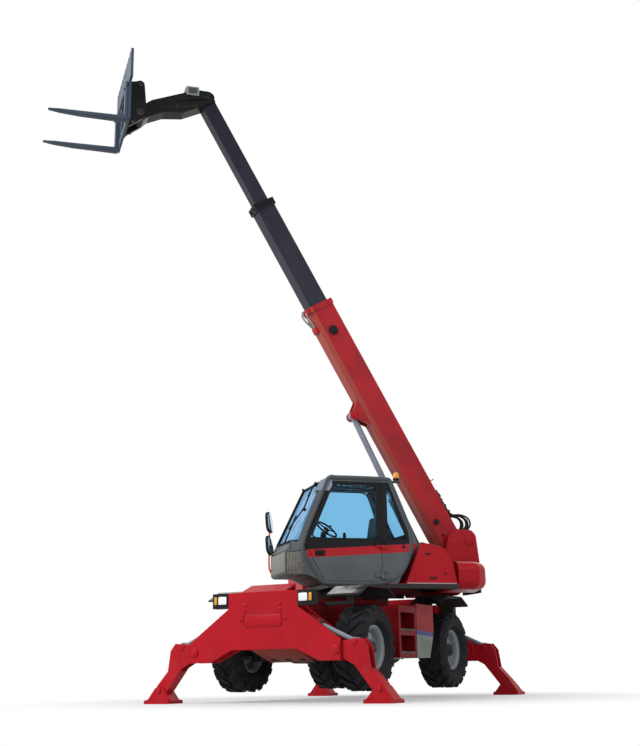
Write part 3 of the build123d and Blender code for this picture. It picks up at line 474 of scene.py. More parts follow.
def floor_paint(name, colour):
    """Pale floor that fades to white away from the machine."""
    finish = Finish(name)
    x, y, _ = finish.split(finish.place)
    far = finish.ramp((x * x + y * y) ** 0.5, 2.0, 5.5)
    path = finish.node("ShaderNodeLightPath").socket.node.outputs
    seen = Shade(finish, path["Is Camera Ray"]) + Shade(finish, path["Is Glossy Ray"])
    seen = seen + Shade(finish, path["Is Transmission Ray"]) > 0.5
    grain = finish.noise(3.0, 3.0)
    finish.feed(Base_Color=finish.mix(grain * 0.3, colour, scaled(colour, 0.97)),
                Roughness=0.8 + grain * 0.05)
    glow = finish.node("ShaderNodeEmission", {}, {"Color": (1.0, 1.0, 1.0, 1.0), "Strength": 1.0})
    mixed = finish.node("ShaderNodeMixShader", {}, {0: seen * (0.35 + far * 0.65),
                                                    1: Shade(finish, finish.shader.outputs[0]), 2: glow})
    finish.tree.links.new(mixed.socket, finish.tree.nodes["Material Output"].inputs["Surface"])
    return finish.material


def rest():
    """Leave edit mode with nothing selected."""
    if bpy.context.mode != "OBJECT":
        bpy.ops.object.mode_set(mode="OBJECT")
    bpy.ops.object.select_all(action="DESELECT")


def choose(*pieces):
    rest()
    for piece in pieces:
        piece.select_set(True)
    bpy.context.view_layer.objects.active = pieces[-1]


def started(name):
    """The primitive just added, under its own name."""
    piece = bpy.context.active_object
    piece.name = name
    piece.data.name = name
    return piece


def settle(piece, place=CHASSIS):
    """Turn a piece from the frame it was drawn in and put its place into its mesh."""
    piece.matrix_world = place @ piece.matrix_basis
    choose(piece)
    bpy.ops.object.transform_apply(location=True, rotation=True, scale=True)
    return piece


def modify(piece, kind, **settings):
    choose(piece)
    modifier = piece.modifiers.new(kind.title(), kind)
    for key, value in settings.items():
        setattr(modifier, key, value)
    bpy.ops.object.modifier_apply(modifier=modifier.name)
    return piece


def soften(piece, width, segments=2, angle=35.0):
    return modify(piece, "BEVEL", width=width, segments=segments, limit_method="ANGLE",
                  angle_limit=math.radians(angle), harden_normals=False)


def slab(low, high, edge=0.006, place=CHASSIS, segments=2):
    """A softened block between two corners."""
    rest()
    low, high = Vector(low), Vector(high)
    bpy.ops.mesh.primitive_cube_add(size=1.0, location=(low + high) / 2)
    piece = bpy.context.active_object
    piece.scale = high - low
    settle(piece)
    soften(piece, edge, segments)
    return settle(piece, place)


def bar(start, end, radius, edge=None, sides=32, place=CHASSIS):
    """A round bar between two points with softened rims."""
    rest()
    start, end = Vector(start), Vector(end)
    axis = end - start
    bpy.ops.mesh.primitive_cylinder_add(vertices=sides, radius=radius, depth=axis.length,
                                        location=(start + end) / 2,
                                        rotation=axis.to_track_quat("Z", "Y").to_euler())
    piece = settle(bpy.context.active_object)
    soften(piece, edge if edge is not None else radius * 0.18, 2, 50.0)
    return settle(piece, place)


def ring(centre, axis, radius, thick, place=CHASSIS, sides=48):
    """A torus about an axis."""
    rest()
    bpy.ops.mesh.primitive_torus_add(
        major_radius=radius, minor_radius=thick, major_segments=sides, minor_segments=14, location=centre,
        rotation=Vector(axis).to_track_quat("Z", "Y").to_euler())
    return settle(bpy.context.active_object, place)


def plate(outline, depth, edge=0.004, place=CHASSIS, flat="xz"):
    """A plate cut to an outline in two axes and pushed along the third by a span."""
    rest()
    first, second = ("xyz".index(letter) for letter in flat)
    third = 3 - first - second
    bpy.ops.mesh.primitive_circle_add(vertices=len(outline), fill_type="NGON")
    piece = bpy.context.active_object
    for vertex, corner in zip(piece.data.vertices, outline):
        vertex.co[first], vertex.co[second] = corner
        vertex.co[third] = depth[0]
    step = [0.0, 0.0, 0.0]
    step[third] = depth[1] - depth[0]
    choose(piece)
    bpy.ops.object.mode_set(mode="EDIT")
    bpy.ops.mesh.select_all(action="SELECT")
    bpy.ops.mesh.extrude_region_move(TRANSFORM_OT_translate={"value": step})
    bpy.ops.mesh.select_all(action="SELECT")
    bpy.ops.mesh.normals_make_consistent(inside=False)
    rest()
    if edge:
        soften(piece, edge)
    return settle(piece, place)


def tube(kind, points, radius, place, closed):
    """A pipe along one spline."""
    rest()
    curve = bpy.data.curves.new("tube", "CURVE")
    curve.dimensions = "3D"
    curve.bevel_depth = radius
    curve.bevel_resolution = 3
    curve.resolution_u = 6
    curve.use_fill_caps = True
    spline = curve.splines.new(kind)
    spline.points.add(len(points) - 1)
    for spot, point in zip(spline.points, points):
        spot.co = (*point, 1.0)
    spline.order_u = 3
    spline.use_cyclic_u = closed
    spline.use_endpoint_u = not closed
    piece = bpy.data.objects.new("tube", curve)
    bpy.context.collection.objects.link(piece)
    choose(piece)
    bpy.ops.object.convert(target="MESH")
    return settle(bpy.context.active_object, place)


def line(points, radius, place=CHASSIS, closed=False):
    """A bent pipe through points."""
    return tube("NURBS", points, radius, place, closed)


def bead(points, radius, place=CHASSIS, closed=True):
    """A round rubber bead along straight runs, mitred at its corners."""
    return tube("POLY", points, radius, place, closed)


def rounded(across, up, half_width, half_height, radius, steps=4):
    """A rectangle with round corners, as points in two axes."""
    points = []
    for quarter, (sx, sz) in enumerate(((1, 1), (-1, 1), (-1, -1), (1, -1))):
        for k in range(steps + 1):
            turn = math.pi / 2 * (quarter + k / steps)
            points.append((across + sx * (half_width - radius) + radius * math.cos(turn),
                           up + sz * (half_height - radius) + radius * math.sin(turn)))
    return points


def eased(points, share, steps=4):
    """The same closed path with its corners rounded off."""
    path = []
    for k, corner in enumerate(points):
        corner = Vector(corner)
        before, after = Vector(points[k - 1]), Vector(points[(k + 1) % len(points)])
        near, far = corner.lerp(before, share), corner.lerp(after, share)
        for step in range(steps + 1):
            t = step / steps
            path.append(near * (1 - t) ** 2 + corner * 2 * t * (1 - t) + far * t ** 2)
    return path


def screen(up, across, proud=0.006):
    """A point on the raked windscreen: share of its height, distance across, distance in front."""
    foot, head = (Vector((x, across, z)) for x, z in (SCREEN_FOOT, SCREEN_HEAD))
    rake = (head - foot).normalized()
    return foot.lerp(head, up) + Vector((rake.z, 0.0, -rake.x)) * proud


def bolts(spots, axis, radius, height, place=CHASSIS):
    """Hexagon heads with washers at spots, standing along an axis."""
    axis = Vector(axis).normalized()
    heads = []
    for spot in spots:
        spot = Vector(spot)
        heads.append(bar(spot, spot + axis * height * 0.3, radius * 1.5, radius * 0.1, 20))
        heads.append(bar(spot + axis * height * 0.25, spot + axis * height, radius, radius * 0.16, 6))
    choose(*heads)
    bpy.ops.object.join()
    return settle(heads[-1], place)


MATERIALS = {}


def fit(name, parts, body, finish, angle=SMOOTH_FITTINGS, replaces=None):
    """Join parts into one piece with its finish, smooth its rounds and let it ride on its body."""
    choose(*parts)
    bpy.ops.object.join()
    piece = started(name)
    if replaces:
        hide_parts(replaces)
    choose(piece)
    bpy.ops.object.shade_smooth_by_angle(angle=math.radians(angle))
    piece.data.materials.clear()
    piece.data.materials.append(MATERIALS[finish])
    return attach(piece, body)


class TELEHANDLER_OT_finishes(bpy.types.Operator):
    """Mix the finishes and paint the construction with them."""
    bl_idname = "telehandler.finishes"
    bl_label = "Finishes"

    def execute(self, context):
        paint = context.scene.telehandler_paint
        MATERIALS.update(
            crimson=painted("crimson_paint", paint.crimson),
            deck=painted("deck_paint", paint.crimson, dark_below=1.606),
            panel=painted("crimson_panel", paint.crimson, 0.34, 0.05, 0.16, 0.1),
            black=painted("black_paint", paint.black, 0.42, 0.06, 0.25, 0.1),
            slate=painted("slate_paint", paint.slate, 0.42, 0.05, 0.3, 0.3),
            rim=rim_paint("rim_paint", paint.rim),
            # crimson darkened as painted shade, for the chassis frame and step box beneath the turret
            shade=painted("crimson_painted_shade", scaled(paint.crimson, 0.42), 0.45, 0.02, 0.2, 0.3),
            guard=painted("guard_paint", (0.30, 0.055, 0.040), 0.5, 0.02, 0.3, 0.3),
            rod=plastic("rod_steel", (0.23, 0.245, 0.30), 0.25, 400.0, 0.05),
            orange=painted("orange_paint", (0.80, 0.16, 0.03), 0.35, 0.2, 0.1, 0.0),
            # the outer boom's orange-brown underside is painted light
            outer_boom=boom_paint("outer_boom_paint", paint.crimson, 90.0, 91.0, (0.31, 0.052, 0.038)),
            middle_boom=boom_paint("middle_boom_paint", paint.navy, 6.235, 6.36),
            inner_boom=boom_paint("inner_boom_paint", paint.navy, 90.0, 91.0),
            cab=cab_paint("cab_panels", paint),
            tank=tank_paint("tank_moulding"),
            plastic=plastic("black_moulding", (0.016, 0.016, 0.018)),
            grey=plastic("grey_moulding", (0.30, 0.32, 0.34)),
            frame=plastic("frame_grey", (0.078, 0.090, 0.099), 0.4, 220.0, 0.0),
            # a lighter copy of the cab grey: painted light on the front panel, which faces the key lamp
            front=plastic("panel_grey_painted_light", (0.20, 0.205, 0.185), 0.45),
            # on the fenders the heavy pale film on up-facing tops is partly dust, partly a painted highlight
            fender=plastic("fender_dust_and_painted_sheen", (0.022, 0.022, 0.024), 0.40, 90.0, 0.9, (0.42, 0.41, 0.40)),
            tyre=tyre_rubber("tyre_rubber", paint.rubber),
            hose=plastic("hose_rubber", (0.014, 0.014, 0.015), 0.4, 500.0, 0.1),
            steel=bare_metal("zinc_steel", (0.34, 0.34, 0.33), 0.40),
            cast=cast_metal("cast_iron", (0.028, 0.028, 0.030)),
            glass=window_glass("window_glass", paint.glass),
            mirror=bare_metal("mirror_glass", (0.72, 0.76, 0.80), 0.03, 4.0),
            amber=lens("amber_lens", paint.amber, 60.0),
            clear=lens("clear_lens", (0.80, 0.83, 0.86), 45.0),
            red_lens=lens("red_lens", (0.50, 0.010, 0.012), 60.0),
            dark_glass=lens("dark_glass", (0.045, 0.060, 0.050), 30.0),
            cloth=cushion_cloth("seat_cloth", (0.030, 0.031, 0.036)),
            mesh=chequer("pressed_mesh", (0.22, 0.21, 0.19), (0.010, 0.010, 0.011)))
        groups = {
            "crimson": ["front_outrigger_beam", "rear_outrigger_beam"],
            # the chassis frame and step box take the darkened crimson: painted shade
            "shade": ["chassis_frame", "step_box"], "deck": ["turret_frame"],
            "panel": ["fuel_tank", "counterweight", "engine_wall", "engine_hood", "left_hood"],
            "black": ["boom_nose", "fork_hitch", "lift_barrel"], "slate": ["fork_carriage", "forks"],
            "outer_boom": ["boom_outer"], "middle_boom": ["boom_middle"], "inner_boom": ["boom_inner"],
            "cab": ["cab_shell", "cab_door"], "tank": ["left_tank"], "fender": ["fenders"],
            "plastic": ["headlamps", "mirrors", "cab_controls", "cab_seat"], "grey": ["work_light"],
            "rod": ["lift_rod"], "cast": ["slew_ring", "front_axle", "rear_axle", "engine_block"],
            "glass": ["cab_glass", "door_glass"], "amber": ["beacon"], "rim": [], "tyre": []}
        for corner in CORNERS:
            groups["crimson"].append(f"leg_{corner}")
            groups["rod"].append(f"leg_rod_{corner}")
            groups["cast"].append(f"knuckle_{corner}")
            groups["rim"].append(f"rim_{corner}")
            groups["tyre"].append(f"tyre_{corner}")
        for finish, names in groups.items():
            for name in names:
                node = NODES[name]
                node.data.materials.clear()
                node.data.materials.append(MATERIALS[finish])
                choose(node)
                bpy.ops.object.shade_smooth_by_angle(angle=math.radians(SMOOTH_CONSTRUCTION))
        return {"FINISHED"}


class TELEHANDLER_OT_wheels(bpy.types.Operator):
    """Fit each wheel with nuts, a bolted hub cover, a flange lip and a valve."""
    bl_idname = "telehandler.wheels"
    bl_label = "Wheels"

    def execute(self, context):
        sizes = context.scene.telehandler_fittings
        for corner, (_, side) in CORNERS.items():
            low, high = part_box(f"rim_{corner}")
            centre = (low + high) / 2
            out = Vector((0, side, 0))
            body = f"wheel_{corner}"

            def around(radius, count, depth):
                turns = (2 * math.pi * k / count for k in range(count))
                return [centre + out * depth + Vector((math.sin(t), 0, math.cos(t))) * radius for t in turns]

            nuts = bolts(around(sizes.nut_circle, sizes.nuts, 0.048), out, sizes.nut, 0.026)
            fit(f"wheel_nuts_{corner}", [nuts], body, "steel")
            cover = [bar(centre + out * 0.128, centre + out * 0.146, 0.078, 0.006),
                     bar(centre + out * 0.140, centre + out * 0.158, 0.034, 0.005)]
            cover.append(bolts(around(0.057, 6, 0.146), out, 0.007, 0.008))
            fit(f"hub_cover_{corner}", cover, body, "cast")
            lips = [ring(centre + out * 0.149, out, 0.290, 0.011, sides=64),
                    ring(centre + out * 0.095, out, 0.2515, 0.007, sides=64),
                    ring(centre - out * 0.149, out, 0.290, 0.011, sides=64)]
            fit(f"rim_lips_{corner}", lips, body, "rim")
            beads = [ring(centre + out * sign * y, out, r, 0.006, sides=72) for sign in (1, -1)
                     for r, y in ((0.372, 0.2145), (0.430, 0.2215))]
            fit(f"tyre_wall_rings_{corner}", beads, body, "tyre")
            stem = centre + Vector((0, side * 0.105, -0.235))
            valve = bar(stem, stem + Vector((0, side * 0.045, 0.012)), 0.006, 0.001, 12)
            fit(f"valve_{corner}", [valve], body, "steel")
        return {"FINISHED"}


class TELEHANDLER_OT_outriggers(bpy.types.Operator):
    """Add covers, bolts, lamps, pins and a front guard to the outrigger beams and legs."""
    bl_idname = "telehandler.outriggers"
    bl_label = "Outriggers"

    def execute(self, context):
        bolt = context.scene.telehandler_fittings.bolt
        for end, fore in (("front", 1), ("rear", -1)):
            face = fore * BEAM_FACE
            depth = sorted((face, face + fore * 0.006))
            cover = plate(rounded(0.0, 1.072, 0.29, 0.078, 0.04), depth, 0.003, flat="yz")
            lip = line([(face + fore * 0.004, y, z) for y, z in rounded(0.0, 1.072, 0.30, 0.088, 0.048)],
                       0.005, closed=True)
            fit(f"{end}_beam_cover", [lip, cover], "chassis", "crimson")
            spots = [(face, side * y, z) for side in (1, -1)
                     for y, z in ((0.265, 1.270), (0.272, 1.200), (0.345, 1.076))]
            if fore < 0:
                spots = [spot for spot in spots if abs(spot[1]) > 0.3]
            heads = bolts(spots, (fore, 0, 0), bolt, 0.014)
            fit(f"{end}_beam_bolts", [heads], "chassis", "crimson")
            for side in (1, -1):
                self.lamp(end, fore, side)
        for corner, (fore, side) in CORNERS.items():
            self.pins(corner, fore, side)
        self.guard()
        return {"FINISHED"}

    def guard(self):
        """The sloping plate that shields the front axle's housing, on two hangers."""
        sheet = plate([(2.186, 0.704), (2.186, 0.690), (1.66, 0.525), (1.66, 0.539)], (-0.345, 0.345), 0.003)
        sides = [plate([(2.182, 0.730), (2.182, 0.700), (1.66, 0.535), (1.66, 0.575)],
                       (y - 0.006, y + 0.006), 0.002) for y in (-0.339, 0.339)]
        sides += [slab((1.665, y - 0.012, 0.535), (1.715, y + 0.012, 0.924), 0.003) for y in (-0.30, 0.30)]
        fit("front_guard", [sheet, *sides], "chassis", "guard")
        slots = [plate([(1.800, 0.5669), (1.730, 0.5449), (1.730, 0.5429), (1.800, 0.5649)],
                       (y - 0.045, y + 0.045), 0.0) for y in (-0.22, 0.0, 0.22)]
        fit("guard_slots", slots, "chassis", "plastic")

    def lamp(self, end, fore, side):
        face = fore * (BEAM_FACE + 0.009)
        depth = sorted((face - fore * 0.004, face + fore * 0.010))
        tag = f"{end}_{'left' if side > 0 else 'right'}"
        big = plate(rounded(side * 0.628, LAMP_Z, 0.066, 0.052, 0.016), depth, 0.004, flat="yz")
        small = plate(rounded(side * 0.738, LAMP_Z, 0.022, 0.052, 0.010), depth, 0.004, flat="yz")
        fit(f"{tag}_lamp", [big], "chassis", "clear" if fore > 0 else "red_lens")
        fit(f"{tag}_indicator", [small], "chassis", "amber")
        bezel = [line([(face + fore * 0.004, y, z) for y, z in rounded(side * y0, LAMP_Z, w, 0.058, 0.02)],
                      0.007, closed=True) for y0, w in ((0.628, 0.073), (0.738, 0.029))]
        fit(f"{tag}_lamp_bezel", bezel, "chassis", "plastic")

    def pins(self, corner, fore, side):
        body = f"leg_{corner}"
        y, z = side * 1.090, 0.670
        head = bar((fore * 2.4415, y, z), (fore * 2.4565, y, z), 0.060, 0.004)
        cap = bar((fore * 2.4550, y, z), (fore * 2.4600, y, z), 0.024, 0.002)
        fit(f"leg_pin_head_{corner}", [head, cap], body, "crimson")
        ankle = [bar((fore * x0, side * FOOT_Y, 0.175), (fore * x1, side * FOOT_Y, 0.175), 0.034, 0.004)
                 for x0, x1 in ((2.440, 2.425), (2.180, 2.195))]
        fit(f"ankle_pin_{corner}", ankle, body, "crimson")
        ear = [bar((fore * x0, side * RAM_PIN_Y, 0.755), (fore * x1, side * RAM_PIN_Y, 0.755), 0.045, 0.005)
               for x0, x1 in ((2.395, 2.407), (2.213, 2.225))]
        fit(f"ram_pin_{corner}", ear, body, "crimson")
        toe = [slab((fore * BEAM_MIDDLE - 0.175, side * FOOT_Y + y0, 0.038),
                    (fore * BEAM_MIDDLE + 0.175, side * FOOT_Y + y1, 0.052))
               for y0, y1 in ((-0.195, -0.165), (0.165, 0.195))]
        fit(f"foot_edges_{corner}", toe, body, "crimson")


class TELEHANDLER_OT_cab(bpy.types.Operator):
    """Trim the cab: frame, seals, wipers, mirrors, handle, roof guard and panels."""
    bl_idname = "telehandler.cab"
    bl_label = "Cab"

    def execute(self, context):
        sizes = context.scene.telehandler_fittings
        self.frame_tube()
        self.seals(sizes.seal)
        self.wipers()
        self.mirrors()
        self.trim()
        self.roof()
        self.beacon()
        return {"FINISHED"}

    def frame_tube(self):
        """The rolled tube round the cab's left side, outside the door."""
        path = [(0.61, 3.118), (0.668, 2.995), (1.040, 2.150), (0.975, 1.960), (0.760, 1.645),
                (0.690, 1.598), (-0.420, 1.598), (-0.705, 2.205), (-0.345, 3.100), (-0.300, 3.128),
                (0.545, 3.128)]
        hoop = bead(eased([(x, 1.103, z) for x, z in path], 0.40), 0.034, TURRET)
        fit("cab_frame_tube", [hoop], "turret", "frame", angle=60.0)

    def seals(self, width):
        door = [(-0.12, 2.24), (0.895, 2.24), (0.545, 3.03), (-0.12, 3.03)]
        quarter = [(-0.590, 2.24), (-0.27, 2.24), (-0.27, 3.06), (-0.300, 3.06)]
        right = [(-0.56, 2.24), (1.08, 2.24), (0.59, 3.06), (-0.29, 3.06)]
        windows = (("door", door, WINDOW_Y, "door"), ("quarter", quarter, WINDOW_Y, "turret"),
                   ("right", right, 0.227, "turret"))
        for name, outline, y, body in windows:
            seal = bead(eased([(x, y, z) for x, z in outline], 0.12), width * 0.4, TURRET)
            fit(f"{name}_window_seal", [seal], body, "hose")
        rear = bead(eased([(-0.690, 0.31, 2.34), (-0.690, 1.03, 2.34), (-0.422, 1.03, 2.98),
                           (-0.422, 0.31, 2.98)], 0.15), width * 0.4, TURRET)
        fit("rear_window_seal", [rear], "turret", "hose")
        edge = [screen(0.98, 1.035), screen(0.98, 0.295), screen(0.035, 0.295), screen(0.035, 1.02),
                Vector((1.090, 1.096, 2.202))]
        fit("windscreen_seal", [bead(edge, 0.012, TURRET, False)], "turret", "hose")

    def wipers(self):
        arms = []
        for base, mid, foot, tip in (((0.54, 1.02), (0.26, 0.70), (0.48, 0.72), (0.03, 0.80)),
                                     ((0.955, 0.99), (0.76, 0.93), (0.93, 0.90), (0.58, 0.99))):
            arms.append(bead([screen(*base, 0.032), screen(*mid, 0.034)], 0.010, TURRET, False))
            arms.append(bead([screen(*foot, 0.024), screen(*tip, 0.024)], 0.012, TURRET, False))
            arms.append(bar(screen(*base, -0.004), screen(*base, 0.044), 0.026, 0.005, 20, TURRET))
        for across in (0.32, 0.97):
            arms.append(bar(screen(0.985, across, 0.0), screen(0.985, across, 0.040), 0.016, 0.006, 16,
                            TURRET))
        fit("wipers", arms, "turret", "plastic")

    def mirrors(self):
        shells, faces = [], []
        upright = Vector((1.287, 0.31, 0.0))
        toe_in = Matrix.Rotation(math.radians(-42.0), 4, "Z")
        turned = TURRET @ Matrix.Translation(upright) @ toe_in @ Matrix.Translation(-upright)
        for z, top in ((2.070, 2.350), (2.400, 2.700)):
            leaf = [(0.222, z + 0.040), (0.300, z), (0.390, z + 0.060), (0.400, top - 0.030), (0.320, top),
                    (0.240, top - 0.090)]
            middle = [sum(corner[k] for corner in leaf) / len(leaf) for k in (0, 1)]
            leaf = [(middle[0] + (y - middle[0]) * 1.12 + (v - middle[1]) * 0.10,
                     middle[1] + (v - middle[1]) * 1.10) for y, v in leaf]
            inner = [(middle[0] + (y - middle[0]) * 0.86, middle[1] + (v - middle[1]) * 0.90)
                     for y, v in leaf]
            shells.append(plate(eased(leaf, 0.35), (1.264, 1.310), 0.014, turned, "yz"))
            faces.append(plate(eased(inner, 0.35), (1.2605, 1.266), 0.002, turned, "yz"))
        fit("mirror_shells", shells, "turret", "plastic", replaces="mirrors")
        fit("mirror_faces", faces, "turret", "mirror")
        arm = line([(1.246, 0.25, 1.82), (1.270, 0.25, 1.84), (1.285, 0.26, 1.95), (1.287, 0.29, 2.1),
                    (1.287, 0.31, 2.4), (1.287, 0.31, 2.64)], 0.013, TURRET)
        foot = slab((1.243, 0.23, 1.79), (1.254, 0.27, 1.87), 0.003, TURRET)
        fit("mirror_arm", [arm, foot], "turret", "orange")

    def trim(self):
        handle = [(0.833, 2.070), (0.685, 2.075), (0.685, 1.992), (0.833, 1.984)]
        recess = plate(handle, (1.119, 1.124), 0.002, TURRET)
        lever = slab((0.70, 1.124, 2.030), (0.80, 1.138, 2.048), 0.004, TURRET)
        lock = bar((0.815, 1.124, 2.022), (0.815, 1.133, 2.022), 0.010, 0.002, 20, TURRET)
        fit("door_handle", [recess, lever, lock], "door", "plastic")
        stop = [bar((-0.52, 1.119, 2.135), (-0.52, 1.135, 2.135), 0.022, 0.004, 24, TURRET),
                bar((-0.52, 1.119, 2.18), (-0.52, 1.140, 2.18), 0.013, 0.003, 20, TURRET)]
        fit("window_catch", stop, "turret", "plastic")
        turn = Matrix.Rotation(math.atan2(-0.100, 0.214), 4, "Z")
        corner = TURRET @ Matrix.Translation((1.03, 1.12, 0.0)) @ turn
        fore = [(0.035, 2.050), (0.222, 2.040), (0.222, 1.735), (0.0, 1.735), (0.0, 1.960)]
        side = [(1.030, 1.955), (1.030, 1.735), (0.975, 1.735), (0.990, 1.84)]
        mesh = [plate(fore, (0.0, 0.006), 0.002, corner), plate(side, (1.119, 1.126), 0.002, TURRET)]
        fit("corner_mesh", mesh, "turret", "mesh")
        edge = [(0.040, 0.002, 2.062), (0.228, 0.002, 2.052), (0.228, 0.002, 1.727), (0.0, 0.002, 1.727)]
        fit("corner_rim", [bead(edge, 0.009, corner, False)], "turret", "frame")
        # the front panel's lighter grey is painted light
        front = [plate(rounded(0.62, 1.905, 0.375, 0.135, 0.02), (1.242, 1.249), 0.003, TURRET, "yz")]
        front.append(slab((1.20, 0.24, 2.072), (1.246, 1.015, 2.094), 0.006, TURRET))
        fit("front_panel", front, "turret", "front")

    def roof(self):
        guard = [bar((x, 0.305, 3.149), (x, 1.035, 3.149), 0.011, 0.002, 12, TURRET)
                 for x in (-0.20, -0.11, -0.02, 0.07, 0.16, 0.25, 0.34)]
        guard.append(slab((-0.265, 0.295, 3.143), (-0.245, 1.045, 3.162), 0.004, TURRET))
        guard.append(slab((0.415, 0.295, 3.143), (0.435, 1.045, 3.162), 0.004, TURRET))
        fit("roof_guard", guard, "turret", "frame")
        lamps = [slab((0.455, y, 3.146), (0.53, y + 0.15, 3.195), 0.012, TURRET, 3) for y in (0.34, 0.80)]
        fit("roof_lamps", lamps, "turret", "plastic")
        glass = [slab((0.527, y + 0.012, 3.155), (0.535, y + 0.138, 3.188), 0.003, TURRET)
                 for y in (0.34, 0.80)]
        fit("roof_lamp_lenses", glass, "turret", "clear")

    def beacon(self):
        x, y, z = -0.490, 0.980, 3.122
        rest()
        bpy.ops.mesh.primitive_uv_sphere_add(segments=32, ring_count=16, radius=0.046,
                                             location=(x, y, z + 0.092))
        dome = settle(bpy.context.active_object, TURRET)
        body = bar((x, y, z + 0.040), (x, y, z + 0.092), 0.046, 0.003, 32, TURRET)
        fit("beacon_dome", [body, dome], "turret", "amber", replaces="beacon")
        foot = [bar((x, y, z - 0.001), (x, y, z + 0.028), 0.040, 0.005, 32, TURRET),
                bar((x, y, z + 0.024), (x, y, z + 0.044), 0.050, 0.005, 32, TURRET)]
        fit("beacon_foot", foot, "turret", "plastic")


class TELEHANDLER_OT_driver_place(bpy.types.Operator):
    """Build the seat, the steering wheel and the levers."""
    bl_idname = "telehandler.driver_place"
    bl_label = "Driver's place"

    def execute(self, context):
        seat = self.cushion((-0.215, 0.445, 1.855), (0.225, 0.895, 2.015), TURRET)
        lean = TURRET @ Matrix.Translation((-0.19, 0.67, 2.03)) @ Matrix.Rotation(math.radians(-9.5), 4, "Y")
        back = self.cushion((-0.06, -0.225, 0.0), (0.055, 0.225, 0.60), lean)
        for name, piece in (("seat_cushion", seat), ("seat_back", back)):
            fit(name, [piece], "turret", "cloth", angle=60.0)
        base = [slab((-0.16, 0.52, 1.672), (0.13, 0.82, 1.74), 0.012, TURRET),
                slab((-0.12, 0.56, 1.735), (0.09, 0.78, 1.845), 0.015, TURRET),
                slab((-0.20, 0.47, 1.835), (0.17, 0.87, 1.868), 0.008, TURRET)]
        for y in (0.405, 0.885):
            base.append(slab((-0.17, y, 2.10), (0.13, y + 0.05, 2.15), 0.015, TURRET, 3))
            base.append(bar((-0.15, y + 0.025, 1.85), (-0.15, y + 0.025, 2.11), 0.016, 0.003, 20, TURRET))
        fit("seat_base", base, "turret", "plastic", replaces="cab_seat")
        self.controls()
        return {"FINISHED"}

    def cushion(self, low, high, place):
        """A crowned pad whose sides draw in between its corners."""
        low, high = Vector(low), Vector(high)
        piece = slab(low, high, min(high - low) * 0.25)
        choose(piece)
        bpy.ops.object.mode_set(mode="EDIT")
        bpy.ops.mesh.select_all(action="SELECT")
        bpy.ops.mesh.subdivide(number_cuts=5)
        rest()
        centre, half = (low + high) / 2, (high - low) / 2
        for vertex in piece.data.vertices:
            u, v, w = ((vertex.co[k] - centre[k]) / half[k] for k in range(3))
            vertex.co.x -= 0.018 * u * (1 - v * v) * half.x / 0.2
            vertex.co.y -= 0.018 * v * (1 - u * u)
            channel = math.exp(-((abs(v) - 0.62) / 0.07) ** 2)
            vertex.co.z -= 0.010 * max(w, 0.0) * channel
        modify(piece, "SUBSURF", levels=1, render_levels=1)
        return settle(piece, place)

    def controls(self):
        axis = Vector((-0.600, 0.0, 0.800))
        hub = Vector((0.512, 0.67, 2.425))
        wheel = [ring(hub, axis, 0.172, 0.014), bar(hub - axis * 0.02, hub + axis * 0.016, 0.045, 0.008)]
        side = Vector((0, 1, 0))
        fore = side.cross(axis)
        for turn in (90.0, 210.0, 330.0):
            reach = side * math.cos(math.radians(turn)) + fore * math.sin(math.radians(turn))
            wheel.append(bar(hub, hub + reach * 0.168, 0.010, 0.002, 16))
        wheel.append(bar(hub + side * 0.12 + axis * 0.01, hub + side * 0.12 + axis * 0.05, 0.018, 0.006, 20))
        column = [plate([(0.565, 1.672), (0.675, 1.672), (0.645, 2.05), (0.585, 2.395), (0.525, 2.395),
                         (0.545, 2.05)], (0.615, 0.725), 0.012)]
        column.append(slab((0.62, 0.36, 2.06), (0.88, 0.98, 2.275), 0.05, segments=4))
        for x, y, height in ((0.30, 0.955, 0.33), (0.38, 0.955, 0.30), (0.12, 0.36, 0.62)):
            column.append(bar((x, y, 1.68), (x + 0.01, y, 1.70 + height), 0.011, 0.002, 16))
            column.append(bar((x + 0.01, y, 1.69 + height), (x + 0.012, y, 1.80 + height), 0.024, 0.010, 20))
        column.append(slab((0.10, 0.300, 1.672), (0.50, 0.395, 1.90), 0.02))
        column.append(slab((0.80, 0.50, 1.735), (0.84, 0.60, 1.835), 0.008))
        parts = [settle(part, TURRET) for part in wheel + column]
        fit("driving_controls", parts, "turret", "plastic", replaces="cab_controls")


